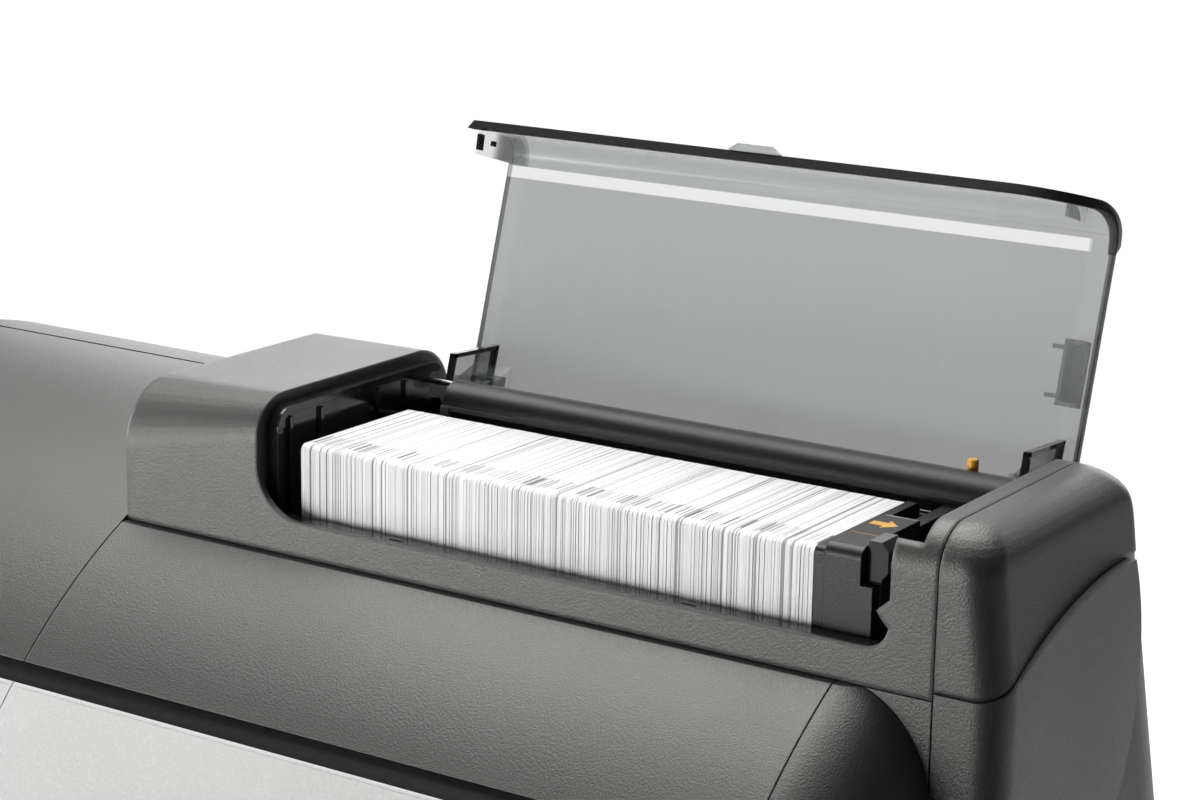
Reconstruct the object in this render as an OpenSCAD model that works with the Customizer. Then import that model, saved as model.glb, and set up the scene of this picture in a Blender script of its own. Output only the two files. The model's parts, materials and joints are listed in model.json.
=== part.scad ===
// Desktop ID card printer with a long open card hopper under a hinged see-through lid.
// X runs to the right, Y to the back, Z up. The origin is in the middle of the footprint, on the table.
// The hopper's own pieces are drawn from the lower front right corner of its ledge: see at_hopper().

/* [Body] */
// Width of the output bin that hangs on the left side
bin_w = 75; // [70:1:80]
// Overall depth
machine_d = 370; // [366:1:390]
// Radius of the rounded front and top
barrel_r = 286; // [282:1:292]
// Height of the card ledge above the table
ledge_h = 380; // [370:1:400]
// How far the rounded top rises above the ledge
barrel_rise = 18.3; // [16:0.1:20]
// Wall of the moulded covers
wall = 3; // [2.5:0.1:3.4]
// Open seam between two covers
seam = 0.6; // [0.5:0.05:0.9]
// Height of the rubber feet
foot_h = 14; // [12:1:18]
// Diameter of the rubber feet
foot_d = 34; // [26:1:40]
// Rounding of the barrel's two ends
end_r = 45; // [38:1:48]
// Rounding of the top edge at the back
back_r = 8; // [6:1:14]
// Distance from the right side to the seam of the barrel's right end
barrel_end_inset = 30; // [28:1:34]
// Height of the split between the dark upper covers and the white panels, below the ledge
split_drop = 69.3; // [66:0.1:74]
// Height of the dark finger gap over the white panels
gap_h = 8.2; // [7:0.1:10]
// Height of the dark skirt under the white panels, from the table
skirt_z = 45; // [42:1:50]

/* [Hopper] */
// How far the hopper's face stands behind the top edge of the cover under it
hopper_step = 3.1; // [2:0.1:5]
// Distance from the machine's right side to the end of the cards
hopper_inset = 95; // [94:0.5:98]
// Long side of a card
card_l = 85.6; // [85.4:0.05:85.8]
// Short side of a card
card_w = 54; // [53.9:0.05:54.1]
// Corner radius of a card
card_r = 3.18; // [2.9:0.02:3.5]
// Length of the full stack of cards
stack_len = 274; // [250:1:276]
// Depth of the cards' lower edge below the ledge
card_sink = 20; // [18:0.5:22]
// Play of the cards in the well, front to back
card_play = 1.2; // [0.8:0.1:1.8]
// Front face of the hopper housing, ahead of the cards
face_out = 12.6; // [12:0.1:13.4]
// Depth of the hopper housing, front to back
housing_d = 149.6; // [148:0.2:151]
// Distance from the opening's left wall to the cards' left end
pick_side = 16; // [15.2:0.2:17.2]
// Distance from the cards' right end to the opening's right wall
opening_right = 42.8; // [42:0.1:43.5]
// Width of the left tower
tower_w = 82; // [78:0.5:86]
// Height of the towers at the opening
tower_h = 55.5; // [54:0.1:57]
// Height of the left tower at its outer end
tower_low = 50; // [47:0.5:52]
// Front rounding of the towers at the opening
tower_r = 20; // [16:0.5:22]
// Front rounding of the left tower at its outer end
tower_low_r = 30; // [26:0.5:32]
// Back rounding of the towers at the opening
tower_back_r = 24; // [20:0.5:26]
// Back rounding of the left tower at its outer end
tower_low_back_r = 6; // [4:0.5:10]
// Drop of the housing's lower seam below the ledge
housing_drop = 16.5; // [16:0.1:17.5]
// Corner rounding of the opening at the ledge
opening_r = 24; // [18:0.5:28]
// Width of the housing's part right of the opening
pillar_w = 20.9; // [20:0.1:21.5]

/* [Lid] */
// Wall of the see-through lid
lid_t = 2.8; // [2.4:0.1:3]
// Reach of the lid past the cards' left end
lid_over = 4; // [2:0.5:5]
// Right edge of the lid, from the cards' right end
lid_right = 53; // [51:0.5:53.5]
// Height of the closed lid's top above the ledge
lid_top = 56; // [55.5:0.1:57]
// Front face of the closed lid, behind the cards' front (it shuts ahead of them)
lid_front = -5.4; // [-6:0.1:-4.6]
// Depth of the lip that the lid turns down at its front
lid_lip = 38; // [34:0.5:38.5]
// Rounding of the bend between lid and lip
lid_bend = 13; // [10:0.5:16]
// Corner rounding at the lip's right end
lid_corner = 42; // [30:1:46]
// Hinge axis, behind the cards' front
hinge_y = 124.7; // [124:0.1:126]
// Hinge axis, above the ledge
hinge_z = 38; // [37:0.1:39]
// Diameter of the hinge pins
hinge_pin_d = 3; // [2.6:0.1:3.4]
// Angle by which the lid stands open
lid_open = 106.5; // [104:0.5:108]

/* [Pusher] */
// Thickness of the plate that presses on the cards
plate_t = 5; // [4:0.1:5.5]
// Width of the pusher's block
block_w = 17; // [15:0.5:18]
// Diameter of the pusher's guide rod
rod_d = 6; // [5:0.1:7]

/* [Rollers] */
// Diameter of the roller shafts
shaft_d = 6; // [5:0.1:7]
// Running clearance of a shaft or pin in its bore, on the radius
run_fit = 0.05; // [0.03:0.01:0.1]
// Diameter of the feed rollers
roller_d = 24; // [20:0.5:26]
// Half of the distance between the two engine plates
plate_half = 60; // [58:0.5:64]
// Distance from the cards' left end to the feed roller
feed_room = 20; // [16:1:24]
// Distance from the feed roller to the cleaning roller
clean_pitch = 70; // [66:1:80]
// Distance from the cleaning roller to the platen roller
platen_pitch = 75; // [70:1:85]
// Distance from the platen roller to the transfer roller
transfer_pitch = 85; // [80:1:95]
// Distance from the transfer roller to the exit roller
exit_pitch = 75; // [70:1:85]
// Distance from the exit roller to the left side
exit_room = 86; // [80:1:95]
// Height of the card track above the table
track_z = 240; // [235:1:245]
// Module of the gear teeth
gear_m = 1.5; // [1.4:0.05:1.6]

/* [Hidden] */

$fn = 48;
eps = 0.01;
big = 2000;
casing_c = "#4a4d4e";
gloss_c = "#17181a";
black_c = "#242628";
white_c = "#dcdedc";
clear_c = [0.64, 0.67, 0.67, 0.6];
steel_c = "#b9bcbe";
rubber_c = "#2b2b2c";

// Air between two fixed pieces that bear on each other.
fit = 0.15;

// The overall width follows from the hopper, the row of rollers beside it and the bin.
machine_w = hopper_inset + stack_len + feed_room + clean_pitch + platen_pitch + transfer_pitch + exit_pitch
    + exit_room + bin_w;
right_x = machine_w/2;
left_x = -machine_w/2 + bin_w;
barrel_y = -machine_d/2 + barrel_r;
barrel_z = ledge_h + barrel_rise - barrel_r;
split_z = ledge_h - split_drop;
white_top = split_z - gap_h;
hop_x = right_x - hopper_inset;
opening_x0 = -stack_len - pick_side;
lid_left = stack_len + lid_over;
tower_x0 = opening_x0 - tower_w;
pillar_x1 = opening_right + pillar_w;
seam_x = hop_x + tower_x0 - seam/2;
side_x = hop_x + pillar_x1 + seam;
bulge_x = right_x - barrel_end_inset;
cap_x = left_x + end_r;
barrel_x1 = bulge_x - end_r;
house_back = housing_d - face_out;

// Places on the barrel: height of the surface at a depth, and depth at a height.
function bar_z(y, r = barrel_r) = barrel_z + sqrt(r*r - (y - barrel_y)*(y - barrel_y));
function bar_y(z, r = barrel_r) = barrel_y - sqrt(r*r - (z - barrel_z)*(z - barrel_z));

face_y = bar_y(ledge_h - housing_drop) + hopper_step;
hop_y = face_y + face_out;

// An outline drawn as (depth, height), drawn out along X.
module x_run(x0, x1) { translate([x0, 0, 0]) rotate([90, 0, 90]) linear_extrude(x1 - x0) children(); }
// An outline drawn as (width, height), drawn out along Y.
module y_run(y0, y1) { translate([0, y1, 0]) rotate([90, 0, 0]) linear_extrude(y1 - y0) children(); }
// A round bar along X or Y.
module x_bar(x0, x1, r) { translate([x0, 0, 0]) rotate([0, 90, 0]) cylinder(x1 - x0, r, r); }
module y_bar(y0, y1, r) { translate([0, y1, 0]) rotate([90, 0, 0]) cylinder(y1 - y0, r, r); }
module at_hopper() { translate([hop_x, hop_y, ledge_h]) children(); }
module slab(y0, z0, y1, z1) { translate([y0, z0]) square([y1 - y0, z1 - z0]); }

// ---------- the rounded body ----------

back_y = machine_d/2 - back_r;
back_z = barrel_z + sqrt(pow(barrel_r - back_r, 2) - pow(back_y - barrel_y, 2));
touch_y = barrel_y + (back_y - barrel_y)*barrel_r/(barrel_r - back_r);

// Side outline of the body: barrel at front and top, straight back, t inside its skin.
module body_2d(t = 0) {
    intersection() {
        translate([barrel_y, barrel_z]) circle(barrel_r - t, $fn = 200);
        slab(-machine_d, foot_h, touch_y, big);
    }
    intersection() {
        translate([barrel_y, barrel_z]) circle(barrel_r - t, $fn = 200);
        slab(0, foot_h, machine_d/2 - t, back_z);
    }
    translate([back_y, back_z]) circle(back_r - t);
}
module skin_2d() { difference() { body_2d(); body_2d(wall); } }

// Tongue behind a seam: it grows from the cover that ends at x0 and reaches behind the cover beyond x1.
tongue_t = 2;
tongue_w = 6;
module tongue(x0, x1) {
    s = x1 > x0 ? 1 : -1;
    x_run(min(x0 - s*tongue_w/2, x0 + s*eps), max(x0 - s*tongue_w/2, x0 + s*eps)) difference() {
        body_2d(wall - eps);
        body_2d(wall + tongue_t);
    }
    x_run(min(x0, x1 + s*tongue_w), max(x0, x1 + s*tongue_w)) difference() {
        body_2d(wall + fit);
        body_2d(wall + tongue_t);
    }
}

// Solid of revolution about the barrel's axis whose end is rounded, t inside its skin.
module barrel_end(t = 0) {
    translate([0, barrel_y, barrel_z]) rotate([0, 90, 0]) rotate_extrude($fn = 200) {
        square([barrel_r - end_r, end_r - t]);
        intersection() {
            translate([barrel_r - end_r, 0]) circle(end_r - t, $fn = 64);
            square([barrel_r, end_r]);
        }
    }
}

// The bead along a hinged cover's edge, its bore, and the lugs that hold its rod.
bead_r = 3.2;
rod_r = 1.5;
lug_w = 8;
top_hinge_y = 128;
top_hinge_z = bar_z(top_hinge_y) - bead_r;
door_hinge_z = skirt_z + seam + bead_r;
door_hinge_y = bar_y(door_hinge_z, barrel_r - bead_r);
strip_y = top_hinge_y + bead_r + seam;

module bead(y, z, x0, x1) { translate([0, y, z]) x_bar(x0, x1, bead_r); }
module bead_bore(y, z, x0, x1) { translate([0, y, z]) x_bar(x0, x1, rod_r + run_fit); }

module top_cover() {
    x0 = cap_x + seam/2;
    x1 = seam_x - seam/2;
    color(casing_c) difference() {
        union() {
            x_run(x0, x1) intersection() {
                skin_2d();
                slab(-machine_d, split_z, top_hinge_y, big);
            }
            bead(top_hinge_y, top_hinge_z, x0 + lug_w + seam, x1 - lug_w - seam);
        }
        for (x = [x0 - eps, x1 - lug_w - seam])
            translate([x, top_hinge_y - bead_r - 2*seam, top_hinge_z - big/2])
                cube([lug_w + seam + eps, big, big]);
        bead_bore(top_hinge_y, top_hinge_z, x0, x1);
    }
}
module top_hinge_rod() {
    color(steel_c) translate([0, top_hinge_y, top_hinge_z]) x_bar(cap_x + 2, seam_x - 2, rod_r);
}

module front_cover() {
    top = ledge_h - housing_drop - seam;
    color(casing_c) x_run(seam_x + seam/2, barrel_x1 - seam/2) intersection() {
        skin_2d();
        slab(-machine_d, split_z, barrel_y, top);
    }
}

// Dark strip at the back of the finger gap over the white panels; its two edges bear on the covers.
gap_depth = 4;
module gap_strip() {
    color(gloss_c) x_run(cap_x + tongue_w + 1, barrel_x1 - tongue_w - 1) {
        intersection() {
            difference() { body_2d(gap_depth); body_2d(gap_depth + wall); }
            slab(-machine_d, white_top - 2*wall, barrel_y, split_z + 2*wall);
        }
        intersection() {
            difference() { body_2d(wall + fit); body_2d(gap_depth + 1); }
            union() {
                slab(-machine_d, white_top - 2*wall, barrel_y, white_top - wall);
                slab(-machine_d, split_z + wall, barrel_y, split_z + 2*wall);
            }
        }
    }
}

// A white panel of the front, its top edge rounded.
module white_panel_2d(z0) {
    r = wall/2;
    intersection() {
        skin_2d();
        slab(-machine_d, z0, barrel_y, white_top - r);
    }
    translate([bar_y(white_top - r, barrel_r - r), white_top - r]) circle(r);
}
module front_door() {
    x0 = seam_x + seam/2;
    x1 = barrel_x1 - seam/2;
    color(white_c) difference() {
        union() {
            x_run(x0, x1) white_panel_2d(door_hinge_z);
            bead(door_hinge_y, door_hinge_z, x0 + lug_w + seam, x1 - lug_w - seam);
        }
        for (x = [x0 - eps, x1 - lug_w - seam])
            translate([x, -machine_d, 0]) cube([lug_w + seam + eps, machine_d, door_hinge_z + bead_r + 2*seam]);
        bead_bore(door_hinge_y, door_hinge_z, x0, x1);
    }
}
module door_hinge_rod() {
    color(steel_c) translate([0, door_hinge_y, door_hinge_z]) x_bar(seam_x + 2, barrel_x1 - 2, rod_r);
}

// Dark skirt along the foot of the front, with the lugs of the door's hinge rod.
module base_skirt() {
    color(casing_c) {
        x_run(cap_x + seam/2, barrel_x1 - seam/2) intersection() {
            skin_2d();
            slab(-machine_d, foot_h, barrel_y, skirt_z);
        }
        for (x = [seam_x + seam/2, barrel_x1 - seam/2 - lug_w]) difference() {
            x_run(x, x + lug_w) {
                translate([door_hinge_y, door_hinge_z]) circle(bead_r);
                slab(door_hinge_y - bead_r, skirt_z - 4, door_hinge_y + bead_r, door_hinge_z);
            }
            bead_bore(door_hinge_y, door_hinge_z, x - 1, x + lug_w + 1);
        }
    }
}

// Place on the barrel's skin at a height: children see the outside at -Y.
function skin_angle(z) = asin((z - barrel_z)/barrel_r);
module on_skin(x, z) {
    translate([x, barrel_y, barrel_z]) rotate([-skin_angle(z), 0, 0]) translate([0, -barrel_r, 0]) children();
}

panel_x = left_x + 112;
panel_z = 246;
bezel = [92, 40];
bezel_t = 1.6;
button_r = 6;
button_x = 62;
button_rise = 9;
press = 1;

module left_front_panel() {
    color(white_c) difference() {
        x_run(cap_x + seam/2, seam_x - seam/2) white_panel_2d(skirt_z + seam);
        on_skin(panel_x, panel_z) {
            translate([-bezel.x/2 - 0.3, -5, -bezel.y/2 - 0.3]) cube([bezel.x + 0.6, 5 + bezel_t, bezel.y + 0.6]);
            translate([-bezel.x/2 + 4, -5, -bezel.y/2 + 4]) cube([bezel.x - 8, 20, bezel.y - 8]);
            for (dz = [-button_rise, button_rise]) translate([button_x, 0, dz]) y_bar(-5, 20, button_r + 0.4);
        }
    }
}
module display() {
    color(gloss_c) on_skin(panel_x, panel_z) {
        translate([-bezel.x/2, -0.5, -bezel.y/2]) cube([bezel.x, bezel_t + 0.3, bezel.y]);
        translate([-bezel.x/2 + 4.5, 0, -bezel.y/2 + 4.5]) cube([bezel.x - 9, 9, bezel.y - 9]);
    }
}
module push_button(dz) {
    on_skin(panel_x, panel_z) translate([button_x, 0, dz]) {
        y_bar(-1.5, 6, button_r);
        y_bar(wall + press + 0.4, wall + press + 2, button_r + 1.6);
    }
}
module menu_button() { color(black_c) push_button(button_rise); }
module select_button() { color(black_c) push_button(-button_rise); }

slot_z = track_z - 3;
slot_h = 7;
bin_h = 130;
bin_t = 2.6;
bin_top = track_z - 12;
bin_y0 = hop_y - 14;
bin_y1 = hop_y + card_l + 14;

module left_end_cap() {
    rear_corner = 22;
    color(casing_c) difference() {
        tongue(cap_x - seam/2, cap_x + seam/2);
        translate([left_x, top_hinge_y - 3*bead_r, top_hinge_z - 4*bead_r]) cube([big, 8*bead_r, big]);
    }
    color(casing_c) difference() {
        intersection() {
            translate([cap_x - seam/2, 0, 0]) mirror([1, 0, 0]) barrel_end();
            x_run(left_x, cap_x - seam/2) body_2d();
            plan_corner(left_x, machine_d/2, rear_corner, 1);
        }
        intersection() {
            translate([cap_x - seam/2 + eps, 0, 0]) mirror([1, 0, 0]) barrel_end(wall);
            x_run(left_x + wall, cap_x) body_2d(wall);
            plan_corner(left_x + wall, machine_d/2 - wall, rear_corner - wall, 1);
        }
        translate([left_x - 1, hop_y - 6, slot_z]) cube([wall + 2, card_l + 12, slot_h]);
        translate([cap_x - end_r - 1, -machine_d, foot_h - 1]) cube([end_r + 2, 2*machine_d, 1 + eps]);
        for (y = [bin_y0 + 20, bin_y1 - 28])
            translate([left_x - 1, y, bin_top - 40]) cube([wall + 2, 8.6, 13]);
    }
}
// Upright block with one rounded corner at (x, y); side is 1 where the block lies to the right.
module plan_corner(x, y, r, side) {
    s = side > 0 ? 0 : 1;
    translate([x, y, 0]) mirror([s, 0, 0]) linear_extrude(big) {
        translate([r, -r]) circle(r);
        translate([0, -big]) square([big, big - r]);
        translate([r, -big]) square([big, big]);
    }
}

module output_bin() {
    color(gloss_c) difference() {
        union() {
            translate([-machine_w/2, bin_y0, bin_top - bin_h])
                cube([bin_w - seam, bin_y1 - bin_y0, bin_h]);
            for (y = [bin_y0 + 20.3, bin_y1 - 27.7]) {
                translate([left_x - seam - eps, y, bin_top - 39.6]) cube([wall + 2.4, 8, 3]);
                translate([left_x + wall + 0.4, y, bin_top - 44]) cube([1.4, 8, 7.4]);
            }
        }
        translate([-machine_w/2 + bin_t, bin_y0 + bin_t, bin_top - bin_h + bin_t])
            cube([bin_w - seam - 2*bin_t, bin_y1 - bin_y0 - 2*bin_t, bin_h]);
        translate([left_x - seam - bin_t - 1, bin_y0 + 14, bin_top - 14])
            cube([bin_t + 2, bin_y1 - bin_y0 - 28, 20]);
        translate([-machine_w/2 + bin_w/2 - 8, bin_y0 - 1, bin_top])
            rotate([-90, 0, 0]) cylinder(bin_t + 2, 17, 17);
    }
}

// ---------- right end ----------

disc_r = 113;
disc_y = hop_y + 15;
disc_z = ledge_h - 33;
arc_r = 289.5;
arc_y = hop_y + 117;
arc_z = ledge_h + 17.3 - arc_r;
front_seam_z = ledge_h - housing_drop;
front_corner = 14;

// Side outline of the lower cover: a disc cut off by the front face and by the rising upper seam.
module disc_2d(t = 0) {
    intersection() {
        translate([disc_y, disc_z]) circle(disc_r - t, $fn = 120);
        translate([arc_y, arc_z]) circle(arc_r - seam/2 - t, $fn = 200);
    }
}
tab_z = 8;
tab_h = 9.5;
module right_side_cover() {
    inner_x = right_x - wall - fit - tongue_t;
    color(casing_c) for (p = [[inner_x, disc_y - 15, disc_z - disc_r - 6, 8.5],
        [inner_x - side_lean*(tab_z + tab_h + housing_drop), hop_y + 60, ledge_h + tab_z, tab_h]]) {
        translate([p[0], p[1], p[2]]) cube([tongue_t, 20, p[3]]);
        translate([p[0], p[1], p[2] + (p[3] == tab_h ? 0 : p[3] - 1.2)]) cube([right_x - wall/2 - p[0], 20, 1.2]);
    }
    color(casing_c) difference() {
        intersection() {
            x_run(side_x, right_x) disc_2d();
            mirror([0, 1, 0]) plan_corner(right_x, -face_y, front_corner, -1);
        }
        intersection() {
            x_run(side_x - 1, right_x - wall) disc_2d(wall);
            mirror([0, 1, 0]) plan_corner(right_x - wall, -face_y - wall, front_corner - wall, -1);
        }
    }
}

// Side outline of a tower: rounded at the top of its front and back.
module tower_2d(top, r, r_back, t = 0) {
    y0 = -face_out + t;
    y1 = house_back - t;
    z1 = top - t;
    z0 = -housing_drop;
    rb = r_back - t;
    rf = r - t;
    slab(y0, z0, y1, z1 - max(rf, rb));
    slab(y0, z0, y1 - rb, z1 - rf);
    slab(y0 + rf, z0, y1 - rb, z1);
    translate([y0 + rf, z1 - rf]) circle(rf);
    translate([y1 - rb, z1 - rb]) circle(rb);
}
// The right tower's shell is a stack of level outlines: its side leans inwards and rounds over to the top
// as its front and back do, and its two upright corners are rounded. t is the depth inside its skin.
side_lean = 0.13;
side_r = 18;
side_slope = atan(side_lean);
side_cz = tower_h - side_r;
side_cx = hopper_inset - side_lean*(side_cz + housing_drop) - side_r/cos(side_slope);
function bent(z, r, t) = sqrt(max(0, pow(r - t, 2) - pow(max(0, z - tower_h + r), 2)));
function side_at(z, t) = z < side_cz + side_r*sin(side_slope) ? hopper_inset - t - side_lean*(z + housing_drop)
    : side_cx + bent(z, side_r, t);
module right_tower(t = 0) {
    x0 = pillar_x1 + seam - (t > 0 ? 1 : 0);
    hull() for (a = [-1:10]) {
        z = a < 0 ? -housing_drop - (t > 0 ? 1 : 0) : tower_h - tower_back_r + (tower_back_r - t)*sin(9*a);
        y0 = -face_out + tower_r - bent(z, tower_r, t);
        y1 = house_back - tower_back_r + bent(z, tower_back_r, t);
        x1 = side_at(z, t);
        c = min(front_corner, x1 + t - pillar_x1 - seam);
        translate([0, 0, z - eps]) linear_extrude(eps) intersection() {
            union() {
                translate([x0, y0]) square([1, y1 - y0]);
                for (y = [y0 - t + c, y1 + t - c]) translate([x1 + t - c, y]) circle(c - t, $fn = 64);
            }
            translate([x0, -big/2]) square(big);
        }
    }
}
module right_upper_cover() {
    color(casing_c) difference() {
        at_hopper() right_tower();
        at_hopper() right_tower(wall);
        x_run(side_x - 1, right_x + 1) {
            slab(-machine_d, 0, machine_d, front_seam_z + seam);
            translate([arc_y, arc_z]) circle(arc_r + seam/2, $fn = 200);
        }
    }
}

// The machine's flank behind and below the disc: it flares outwards down to the table.
flare_r = 60;
flare_in = 20;
flare_z = ledge_h - 115;
rear_x0 = right_x - flare_r;
module flank(t = 0) {
    hull() for (s = [[foot_h - (t > 0 ? 1 : 0), 0], [flare_z, 0], [ledge_h + barrel_rise, flare_in]])
        translate([0, 0, s[0]]) linear_extrude(0.5) {
            translate([right_x - s[1] - flare_r, machine_d/2 - flare_r]) circle(flare_r - t, $fn = 64);
            translate([right_x - s[1] - front_corner, face_y + front_corner]) circle(front_corner - t, $fn = 32);
            translate([rear_x0 - flare_in - 1, face_y + t]) square([1, machine_d/2 - t - face_y - t]);
        }
}
module right_rear_cover() {
    tower_back = hop_y + house_back + seam;
    color(casing_c) difference() {
        intersection() {
            flank();
            x_run(rear_x0 - flare_in + seam, right_x) body_2d();
        }
        intersection() {
            flank(wall);
            x_run(0, right_x) body_2d(wall);
        }
        x_run(0, right_x + 1) translate([disc_y, disc_z]) circle(disc_r + seam, $fn = 120);
        translate([0, -machine_d, arc_z + arc_r - 1]) cube([big, machine_d + tower_back, big]);
        translate([0, -machine_d, 0]) cube([side_x, machine_d + tower_back, big]);
    }
    color(casing_c) intersection() {
        tongue(rear_x1 + seam, rear_x1);
        translate([0, tower_back + 2, 0]) cube(big);
    }
}
// Flat casing wall behind the barrel's rounded right end, with tongues behind the side covers.
module right_front_cover() {
    color(casing_c) {
        translate([barrel_x1 + seam/2, face_y, foot_h])
            cube([side_x - 1.5*seam - barrel_x1, wall, front_seam_z - seam - foot_h]);
        for (z = [[foot_h + 4, 222], [252, front_seam_z - 6]]) {
            translate([side_x - seam - tongue_w, face_y + wall - eps, z[0]])
                cube([tongue_w, tongue_t, z[1] - z[0]]);
            translate([side_x - seam - eps, face_y + wall + fit, z[0]])
                cube([tongue_w, tongue_t - fit - eps, z[1] - z[0]]);
        }
    }
}
module barrel_end_cap() {
    color(casing_c) difference() {
        intersection() {
            translate([barrel_x1 + seam/2, 0, 0]) barrel_end();
            x_run(barrel_x1 + seam/2, bulge_x + seam) body_2d();
        }
        intersection() {
            translate([barrel_x1 + seam/2 - eps, 0, 0]) barrel_end(wall);
            x_run(barrel_x1, bulge_x) body_2d(wall);
        }
        translate([0, face_y - fit, 0]) cube(big);
        translate([0, -machine_d, front_seam_z - seam]) cube(big);
        translate([0, -machine_d, foot_h - 1]) cube([big, big, 1 + eps]);
    }
    color(casing_c) intersection() {
        tongue(barrel_x1 + seam/2, barrel_x1 - seam/2);
        translate([0, -machine_d, door_hinge_z + 3*bead_r])
            cube([big, machine_d + face_y - fit, front_seam_z - seam - door_hinge_z - 3*bead_r]);
    }
}

// ---------- back and base ----------

vent_n = 16;
port_x = left_x + 90;
port_z = 60;
inlet = [48, 28];
switch_x = port_x + 52;
data_x = switch_x + 56;
fan_x = hop_x - 182.5;
board_x = fan_x - 280;
fan_z = 150;
fan_size = 92;
rear_x1 = rear_x0 - flare_in;

module rear_cover() {
    back = machine_d/2;
    tower_back = hop_y + house_back + seam;
    color(casing_c) difference() {
        union() {
            x_run(cap_x + seam/2, seam_x + 2*seam) intersection() {
                skin_2d();
                slab(strip_y, foot_h, big, big);
            }
            x_run(seam_x + 2*seam - eps, rear_x1) intersection() {
                skin_2d();
                slab(tower_back, foot_h, big, big);
            }
            for (x = [cap_x + seam/2, seam_x - seam/2 - lug_w]) x_run(x, x + lug_w) {
                translate([top_hinge_y, top_hinge_z]) circle(bead_r);
                slab(top_hinge_y, top_hinge_z - bead_r, strip_y + 3, top_hinge_z + bead_r - 1.4);
            }
        }
        bead_bore(top_hinge_y, top_hinge_z, cap_x, seam_x);
        translate([port_x - inlet.x/2, back - 10, port_z - inlet.y/2]) cube([inlet.x, 20, inlet.y]);
        translate([switch_x - 11, back - 10, port_z - 14]) cube([22, 20, 28]);
        translate([data_x - 24, back - 10, port_z - 10]) cube([48, 20, 20]);
        for (i = [0:vent_n - 1]) {
            translate([board_x - 10 + 12*i, back - 10, 250]) cube([5, 20, 70]);
            if (i < 8) translate([fan_x - 44 + 12*i, back - 10, fan_z - 36]) cube([5, 20, 72]);
        }
    }
}
pan_t = 2;
pan_rim = 18;
pan_y0 = bar_y(foot_h, barrel_r - wall) + fit;
pan_y1 = machine_d/2 - wall - fit;
pan_x0 = cap_x + tongue_w + 1;
pan_x1 = barrel_x1 - tongue_w - 6;
module base_pan() {
    color(steel_c) difference() {
        translate([pan_x0, pan_y0, foot_h]) cube([pan_x1 - pan_x0, pan_y1 - pan_y0, pan_rim]);
        translate([pan_x0 + pan_t, pan_y0 + pan_t, foot_h + pan_t])
            cube([pan_x1 - pan_x0 - 2*pan_t, pan_y1 - pan_y0 - 2*pan_t, pan_rim]);
    }
}
module feet() {
    color(rubber_c) for (x = [pan_x0 + 40, pan_x1 - 40], y = [pan_y0 + 30, pan_y1 - 45])
        translate([x, y, 0]) rotate_extrude() polygon([[0, 0], [foot_d/2 - 2, 0], [foot_d/2, 2],
            [foot_d/2 - 2, foot_h], [0, foot_h]]);
}

// ---------- hopper ----------

pin_r = hinge_pin_d/2;
pick_room = 27;
floor_t = 3;
well_y0 = -card_play;
well_y1 = card_l + card_play;
lid_room = 1;
recess_x = lid_right + 2*lid_room;

module hopper_housing() {
    color(casing_c) at_hopper() difference() {
        union() {
            hull() {
                x_run(tower_x0, tower_x0 + 0.5) tower_2d(tower_low, tower_low_r, tower_low_back_r, $fn = 40);
                x_run(opening_x0 - 0.5, opening_x0) tower_2d(tower_h, tower_r, tower_back_r, $fn = 40);
            }
            x_run(opening_x0 - eps, pillar_x1) tower_2d(tower_h, tower_r, tower_back_r);
            y_run(-face_out, -face_out + wall) polygon([[opening_right + 1, 23], [opening_right - 1, 21.4],
                [opening_right - 6.2, 16.7], [opening_right - 2.6, 12.2], [opening_right + 1, 9]]);
            x_run(pillar_x1 - eps, pillar_x1 + 3) intersection() {
                tower_2d(tower_h, tower_r, tower_back_r, wall + fit);
                slab(-big, 24, big, big);
            }
        }
        // inside of the left tower, with a boss left for the hinge pin
        difference() {
            hull() {
                x_run(tower_x0 + wall, tower_x0 + wall + 0.5) tower_2d(tower_low, tower_low_r, tower_low_back_r, wall, $fn = 32);
                x_run(opening_x0 - wall - 0.5, opening_x0 - wall) tower_2d(tower_h, tower_r, tower_back_r, wall, $fn = 32);
            }
            translate([0, hinge_y, hinge_z]) x_bar(opening_x0 - 12, opening_x0, 5);
        }
        translate([tower_x0 + wall, -face_out + wall, -housing_drop - 1])
            cube([tower_w - 2*wall, housing_d - 2*wall, 2]);
        // the opening over the cards, its front edge rounded down to the ledge
        y_run(-face_out - 1, house_back - wall) difference() {
            slab(opening_x0, 0, opening_right, big);
            polygon([[opening_right + 1, 23], [opening_right - 1, 21.4], [opening_right - 6.2, 16.7],
                [opening_right - 2.6, 12.2], [opening_right + 1, 9]]);
            for (s = [[opening_x0, opening_r, 1], [opening_right, opening_r/2, -1]]) difference() {
                translate([s[0] - (s[2] > 0 ? 0 : s[1]), 0]) square(s[1]);
                translate([s[0] + s[2]*s[1], s[1]]) circle(s[1]);
            }
        }
        translate([opening_x0, -face_out + wall, -housing_drop - 1])
            cube([opening_right - opening_x0, housing_d - 2*wall, big]);
        // room for the closed lid beside and behind the opening
        translate([opening_right - 1, lid_front - 3, lid_top - lid_lip - 2])
            cube([recess_x - opening_right + 1, big, big]);
        translate([opening_x0, hinge_y - 14, hinge_z - 13]) cube([recess_x - opening_x0, big, big]);
        // window for the pick roller
        translate([opening_x0 - wall - 1, card_l/2 - pick_room, -housing_drop - 1])
            cube([wall + 2, 2*pick_room, housing_drop + 6]);
        for (x = [opening_x0 - 14, recess_x - 1])
            translate([0, hinge_y, hinge_z]) x_bar(x, x + (x < 0 ? 16 : pillar_x1 - recess_x + 2), pin_r);
    }
}

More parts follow.
